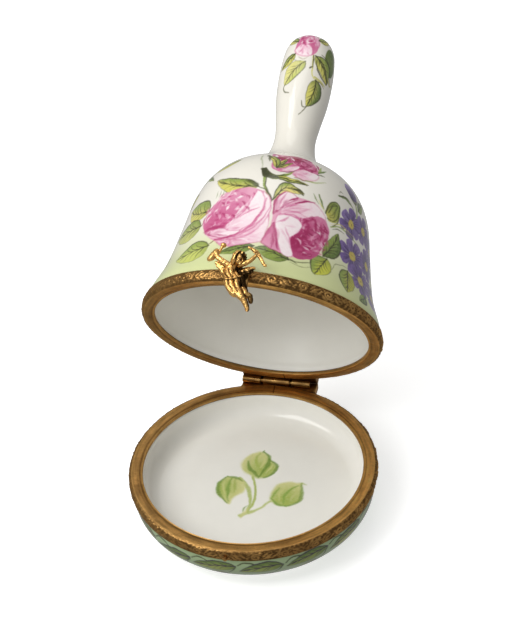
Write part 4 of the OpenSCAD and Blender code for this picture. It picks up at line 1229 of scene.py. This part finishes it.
def limb(mesh, points, radii, deep=1.0, sides_round=14):
    """A rounded limb along a smooth line: deep is how thick it is front to back for its width."""
    line = smooth(points, 6)
    t = np.linspace(0, 1, len(line))
    wide = np.interp(t, np.linspace(0, 1, len(radii)), radii)
    heading = np.gradient(line, axis=0)
    heading /= np.linalg.norm(heading, axis=1)[:, None]
    first, last = heading[0], heading[-1]
    caps = np.radians([78, 55, 28])
    rows = [(line[0] - first * wide[0] * sin(c), wide[0] * cos(c), first) for c in caps]
    rows += list(zip(line, wide, heading))
    rows += [(line[-1] + last * wide[-1] * sin(c), wide[-1] * cos(c), last) for c in caps[::-1]]
    rings = []
    for middle, r, h in rows:
        back = np.array([0, 1.0, 0]) - h * h[1]
        back /= max(np.linalg.norm(back), 1e-6)
        across = np.cross(h, back)
        rings.append([mesh.verts.new(middle + r * (cos(a) * across + deep * sin(a) * back))
                      for a in np.arange(sides_round) * 2 * pi / sides_round])
    for a, b in zip(rings, rings[1:]):
        for k in range(sides_round):
            j = (k + 1) % sides_round
            mesh.faces.new((a[k], a[j], b[j], b[k]))
    mesh.faces.new(rings[0][::-1])
    mesh.faces.new(rings[-1])


def ball(mesh, centre, size):
    """An egg-shaped lump; size is its half widths."""
    lump = bmesh.ops.create_icosphere(mesh, subdivisions=3, radius=1)
    for v in lump["verts"]:
        v.co = Vector(centre) + Vector([c * s for c, s in zip(v.co, size)])


def child(mesh):
    """The child's body, clothes, wings and what the hands hold, in mm; y is towards the box."""
    head = np.array([-0.68, -0.5, 3.5])
    # trunk, gathered cloth in two falls, and a sheet behind them, coloured dark as painted shade
    limb(mesh, [(-1.0, -0.1, 3.2), (-1.2, 0, 2.6), (-1.7, 0.05, 2.0)], (0.5, 0.55, 0.75))
    limb(mesh, [(-2.1, -0.05, 2.0), (-2.35, -0.1, 0.9), (-2.25, -0.2, -0.5), (-1.95, -0.3, -1.8),
                (-1.25, -0.35, -3.1), (-0.3, -0.45, -4.2)], (1.05, 1.2, 1.3, 1.4, 1.35, 1.2), 0.85)
    limb(mesh, [(-1.35, -0.1, 0.5), (-0.75, -0.35, -0.9), (-0.35, -0.45, -2.3), (0.1, -0.5, -3.8)],
         (0.5, 0.85, 0.95, 0.9), 0.9)
    limb(mesh, [(-0.6, 0.6, 1.9), (-0.1, 0.7, 0.6), (0.45, 0.7, -0.9), (0.85, 0.7, -2.3), (1.5, 0.6, -3.6)],
         (0.5, 0.6, 0.75, 0.9, 0.85), 0.5)
    limb(mesh, [(-1.4, 1.1, 1.4), (-1.3, 1.1, -1.6)], (0.75, 0.75), 0.9)
    # the leg in front, and the bent one behind it
    limb(mesh, [(0.2, -0.6, -4.2), (1.15, -0.85, -5.15), (1.9, -0.75, -5.9)], (1.0, 0.86, 0.64))
    limb(mesh, [(1.85, -0.75, -5.75), (2.4, -0.5, -6.6), (2.85, -0.35, -7.5)], (0.7, 0.66, 0.5))
    limb(mesh, [(2.85, -0.35, -7.45), (3.0, -0.6, -8.05), (3.1, -0.85, -8.35)], (0.5, 0.5, 0.34), 0.85)
    limb(mesh, [(0.9, 0.0, -3.5), (2.0, -0.2, -4.25), (2.85, -0.05, -4.75)], (0.9, 0.76, 0.6))
    limb(mesh, [(2.85, 0.0, -4.7), (3.15, 0.15, -5.3), (3.3, 0.2, -5.85)], (0.62, 0.6, 0.46))
    # raised arms with what they carry
    limb(mesh, [(-3.0, -0.1, 2.1), (-4.3, -0.4, 2.75), (-5.5, -0.5, 3.55)], (0.74, 0.66, 0.55))
    limb(mesh, [(-5.45, -0.5, 3.5), (-5.75, -0.45, 4.2), (-5.85, -0.35, 4.9)], (0.55, 0.52, 0.46))
    limb(mesh, [(-7.15, -0.2, 3.0), (-6.75, -0.3, 3.35), (-6.3, -0.35, 4.1), (-5.95, -0.25, 5.1)],
         (0.56, 0.74, 0.74, 0.5), 0.85)
    limb(mesh, [(-5.5, -0.15, 4.2), (-5.2, -0.1, 5.2), (-4.9, -0.1, 6.1)], (0.28, 0.28, 0.36))
    ball(mesh, (-4.64, -0.15, 6.55), (0.64, 0.56, 0.54))
    limb(mesh, [(-0.45, -0.1, 2.15), (0.75, -0.45, 2.6), (1.8, -0.65, 3.25)], (0.58, 0.56, 0.48))
    limb(mesh, [(1.75, -0.65, 3.2), (2.3, -0.55, 3.9), (2.8, -0.4, 4.7)], (0.48, 0.45, 0.38))
    limb(mesh, [(0.95, -0.2, 6.45), (2.0, -0.3, 5.95), (3.05, -0.35, 5.1), (3.95, -0.3, 4.0),
                (4.7, -0.25, 2.9)],
         (0.22, 0.4, 0.5, 0.38, 0.32))
    for at, size in (((1.8, -0.45, 6.15), 0.34), ((2.85, -0.55, 5.5), 0.4), ((3.5, -0.55, 4.75), 0.4),
                     ((4.25, -0.4, 3.75), 0.34), ((5.05, -0.3, 2.6), 0.42), ((4.6, -0.25, 3.2), 0.34),
                     ((0.9, -0.2, 6.5), 0.28)):
        ball(mesh, at, (size, size * 0.9, size * 0.85))
    # wings: three feathers each, one over the other
    for root, tips in (((-2.9, 1.4), ((-4.2, 1.85, -5.6, 2.45), (-4.0, 1.15, -5.25, 1.7),
                                      (-3.6, 0.6, -4.4, 0.85))),
                       ((0.0, 1.1), ((1.3, 1.45, 2.6, 2.0), (1.2, 0.9, 2.4, 1.3), (0.8, 0.45, 1.6, 0.7)))):
        for k, (x0, z0, x1, z1) in enumerate(tips):
            near, wide = 0.42 + 0.08 * k, 0.66 - 0.12 * k
            limb(mesh, [(root[0], near, root[1] - 0.4 * k), (x0, near - 0.1, z0), (x1, near - 0.1, z1)],
                 (wide, wide, 0.62 * wide), 0.6)
    # the head looks down over its left shoulder: skull, jaw, brow, nose, cheeks, lips, chin, ears
    tilt = 1.14 * (Matrix.Rotation(radians(12), 3, "Y") @ Matrix.Rotation(radians(52), 3, "Z")
                   @ Matrix.Rotation(radians(8), 3, "X"))
    on = lambda x, y, z: tuple(Vector(head) + tilt @ Vector((x, y, z)))
    ball(mesh, on(0, 0.08, 0.22), (1.38, 1.4, 1.36))
    ball(mesh, on(0, -0.22, -0.5), (1.0, 1.0, 0.92))
    limb(mesh, [on(-0.55, -1.06, 0.2), on(0, -1.16, 0.24), on(0.55, -1.06, 0.2)], (0.2, 0.22, 0.2))
    limb(mesh, [on(0, -1.16, 0.1), on(0, -1.3, -0.18), on(0, -1.32, -0.3)], (0.1, 0.15, 0.18))
    for side in (-1, 1):
        ball(mesh, on(0.48 * side, -0.82, -0.38), (0.34, 0.3, 0.3))
        ball(mesh, on(0.4 * side, -1.0, 0.0), (0.17, 0.12, 0.12))
        ball(mesh, on(1.14 * side, -0.02, -0.15), (0.14, 0.26, 0.32))
    limb(mesh, [on(-0.24, -1.0, -0.6), on(0, -1.1, -0.58), on(0.24, -1.0, -0.6)], (0.08, 0.11, 0.08))
    limb(mesh, [on(-0.18, -0.98, -0.74), on(0, -1.05, -0.76), on(0.18, -0.98, -0.74)], (0.07, 0.1, 0.07))
    ball(mesh, on(0, -0.9, -1.02), (0.26, 0.2, 0.2))
    # curls all over the crown and down the neck, and longer locks over one ear
    for k in range(CURLS):
        high = 1 - 1.55 * (k + 0.5) / CURLS
        a = k * GOLDEN_ANGLE
        spot = np.array([sqrt(1 - high * high) * cos(a), sqrt(1 - high * high) * sin(a), high])
        if spot[1] < -0.42 and spot[2] < 0.62:
            continue
        ball(mesh, on(1.2 * spot[0], 0.08 + 1.26 * spot[1], 0.25 + 1.18 * spot[2]),
             [0.3 + 0.06 * sin(3 * k)] * 3)
    for k in range(6):
        x, y = -0.7 - 0.17 * k, -1.95 + 0.4 * k
        limb(mesh, [(x, y, 4.55 - 0.05 * k), (x - 0.55, y, 3.7), (x - 0.75, y + 0.2, 2.8),
                    (-1.75 - 0.05 * k, -1.1 + 0.25 * k, 2.0)], (0.26, 0.4, 0.38, 0.26))
    # sash round the waist, and fingers
    limb(mesh, [(-3.35, -0.6, -1.3), (-2.2, -1.45, -1.75), (-0.9, -1.45, -1.4), (0.25, -1.0, -0.7)],
         (0.2, 0.27, 0.27, 0.2))
    for x, z in ((-6.0, 4.5), (-5.8, 4.15), (2.55, 5.15), (3.0, 4.85)):
        limb(mesh, [(x - 0.25, -0.8, z - 0.1), (x + 0.1, -0.9, z + 0.15)], (0.14, 0.13))


def folds(p, n):
    """How far each point of the cloth, feathers and skin stands out, in mm."""
    x, y, z = p.T
    front = ramp(-n[:, 1], -0.2, 0.6)
    middle = np.interp(z, (-4.5, -3.1, -1.8, -0.5, 1.2), (0.2, -0.9, -1.4, -1.7, -2.2))
    cloth = ramp(-z, -1.5, -0.6) * ramp(z, -4.9, -4.3) * ramp(-y, -0.45, -0.2)
    run = 5.2 * (x - middle) + 1.7 * np.sin(0.9 * z + 0.4) + 0.7 * np.sin(2.1 * z - 0.8 * x) + 0.5 * z
    ridge = 0.17 * (np.abs(np.sin(run / 2)) ** 0.9 * 1.6 - 1)
    crease = -0.07 * ramp(np.sin(1.7 * run + 2.6 * z + 1), 0.5, 1)
    wing = ramp(y, 0.0, 0.3) * (ramp(np.abs(x + 1.45), 1.6, 2.2)) * ramp(z, 0, 0.4)
    quill = 0.06 * np.sin(8 * z - 3.2 * np.abs(x + 1.45))
    belly = 0.03 * np.sin(5 * x + 2) * np.sin(4 * z) * front
    rough = 0.018 * (np.sin(9 * x + 4 * z) * np.sin(8 * z - 3 * y) + np.sin(14 * y + 5 * x) * np.sin(12 * z))
    return cloth * (ridge + crease) + wing * quill + belly * ramp(z, 0, 1) + rough


def figure():
    mesh = bmesh.new()
    child(mesh)
    data = bpy.data.meshes.new("rough_cast")
    mesh.to_mesh(data)
    mesh.free()
    cast = bpy.data.objects.new("rough_cast", data)
    bpy.context.scene.collection.objects.link(cast)
    remesh = cast.modifiers.new("skin", "REMESH")
    remesh.mode, remesh.voxel_size = "VOXEL", 0.08
    soften = cast.modifiers.new("soften", "SMOOTH")
    soften.factor, soften.iterations = 0.5, 2
    skin = cast.evaluated_get(bpy.context.evaluated_depsgraph_get()).to_mesh()
    p = np.zeros(len(skin.vertices) * 3)
    skin.vertices.foreach_get("co", p)
    n = np.zeros_like(p)
    skin.vertex_normals.foreach_get("vector", n)
    loops = np.zeros(len(skin.loops), np.int32)
    skin.loops.foreach_get("vertex_index", loops)
    starts = np.zeros(len(skin.polygons), np.int32)
    skin.polygons.foreach_get("loop_start", starts)
    p, n = p.reshape(-1, 3), n.reshape(-1, 3)
    bpy.data.objects.remove(cast)
    p = p + n * folds(p, n)[:, None]
    stops = np.r_[starts[1:], len(loops)]
    face = np.repeat(np.arange(len(starts)), stops - starts)
    middle = np.zeros((len(starts), 3))
    np.add.at(middle, face, p[loops])
    middle /= (stops - starts)[:, None]
    sag, count = np.zeros(len(p)), np.zeros(len(p))
    np.add.at(sag, loops, ((middle[face] - p[loops]) * n[loops]).sum(1))
    np.add.at(count, loops, 1)
    hollow = sag / np.maximum(count, 1)
    for _ in range(3):
        spread = np.zeros(len(p))
        average = np.zeros(len(starts))
        np.add.at(average, face, hollow[loops])
        average /= stops - starts
        np.add.at(spread, loops, average[face])
        hollow = spread / np.maximum(count, 1)
    # Painted shade in the cast's hollows and painted highlights on its bulges
    dark = ramp(hollow, 0.0005, 0.006)
    bright = ramp(-hollow, 0.001, 0.006)
    tone = mix(mix(GOLD * 1.1, GOLD_DARK, dark * 0.8), GOLD * 1.25, bright * 0.8)
    x, y, z = p.T
    # Painted shadow in the channel beside the cloth, painted shade over the face, turned from the light, and
    # on the right-facing lower body and a patch at the bent leg
    channel_shadow = ramp(y, -0.2, 0.15) * ramp(x, -1.4, -0.8) * ramp(-z, -2.0, -1.5) * ramp(z, -4.9, -4.2)
    face = ramp(n[:, 0], 0.05, 0.6) * ramp(z, 2.5, 3.1) * ramp(-np.abs(x + 0.4), -1.9, -1.7)
    right_side_shade = np.maximum(ramp(n[:, 0], 0.3, 0.85) * ramp(-z, 0.5, 2),
                       0.7 * ramp(x, 2.5, 2.9) * ramp(z, -6.6, -6.2)
                       * ramp(-z, 4.6, 4.9))
    tone = mix(tone, GOLD_DARK * 0.55, np.maximum(0.95 * channel_shadow, np.maximum(0.85 * face, 0.8 * right_side_shade)))
    # Painted shade on the back of the figure, towards the box, over the sheet behind the cloth
    tone = mix(tone, GOLD_DARK * 0.6, 0.9 * ramp(y, 0.75, 1.1))
    points = p + [0, -FIGURE_Y, 0]
    print("figure vertices", len(p), p.min(0), p.max(0))
    return finish_mesh("clasp_figure_cast", place(points, "lid"), loops, starts, None, tone, "lid",
                       ["clasp_figure"], brass("clasp_brass", (0.62, 0.4, 0.16), 0.3, False))


figure()


# ---------------------------------------------------------------- floor, lights, camera
FLOOR_M, WORLD_LIGHT, FLOOR_GLOW = 6, 0.4, 0.5
STAND_OFF, ROLL_DEG = 20, 4.38

scene = bpy.context.scene
world = bpy.data.worlds.new("studio")
scene.world = world
world.use_nodes = True
world.node_tree.nodes["Background"].inputs["Color"].default_value = (1, 1, 1, 1)
world.node_tree.nodes["Background"].inputs["Strength"].default_value = WORLD_LIGHT
scene.view_settings.view_transform = "Standard"

bpy.ops.mesh.primitive_plane_add(size=FLOOR_M)
floor = bpy.context.object
floor.name = "floor"
floor_look, shader, add, link = material("floor_paper", (0.95, 0.95, 0.95), 0.6)
shader.inputs["Emission Color"].default_value = (1, 1, 1, 1)
shader.inputs["Emission Strength"].default_value = FLOOR_GLOW
floor.data.materials.append(floor_look)
floor.visible_diffuse = False
floor.visible_glossy = False


def lamp(name, at, size, power, towards=(0, 0, 30), mirrored=True):
    """A square lamp: its place and size in mm, and whether shiny things show it."""
    light = bpy.data.lights.new(name, "AREA")
    light.size, light.energy = size * MM, power
    piece = bpy.data.objects.new(name, light)
    scene.collection.objects.link(piece)
    piece.location = Vector(at) * MM
    piece.visible_glossy = mirrored
    piece.rotation_euler = (Vector(towards) - Vector(at)).to_track_quat("-Z", "Y").to_euler()


lamp("key", (-370, -235, 565), 460, 2.9)
lamp("front", (-200, -560, 260), 400, 0.9, mirrored=False)
lamp("above", (-120, 160, 680), 480, 1.0)

view = Vector((-0.20177, 0.74789, -0.63242)).normalized()
right = view.cross(Vector((0, 0, 1))).normalized()
level_up = right.cross(view)
roll = radians(ROLL_DEG)
up = level_up * cos(roll) + right * sin(roll)
side = view.cross(up)
lens = bpy.data.cameras.new("camera")
lens.sensor_width, lens.lens = 36, 142.4
lens.clip_start, lens.clip_end = 0.01, 20
camera = bpy.data.objects.new("camera", lens)
scene.collection.objects.link(camera)
target = Vector((-0.019, 0.508, 1.091)) * BOX_R + Vector((0, 0, BASE_H))
at = (target - view * STAND_OFF * BOX_R) * MM
camera.matrix_world = Matrix([(side[i], up[i], -view[i], at[i]) for i in range(3)] + [(0, 0, 0, 1)])
scene.camera = camera
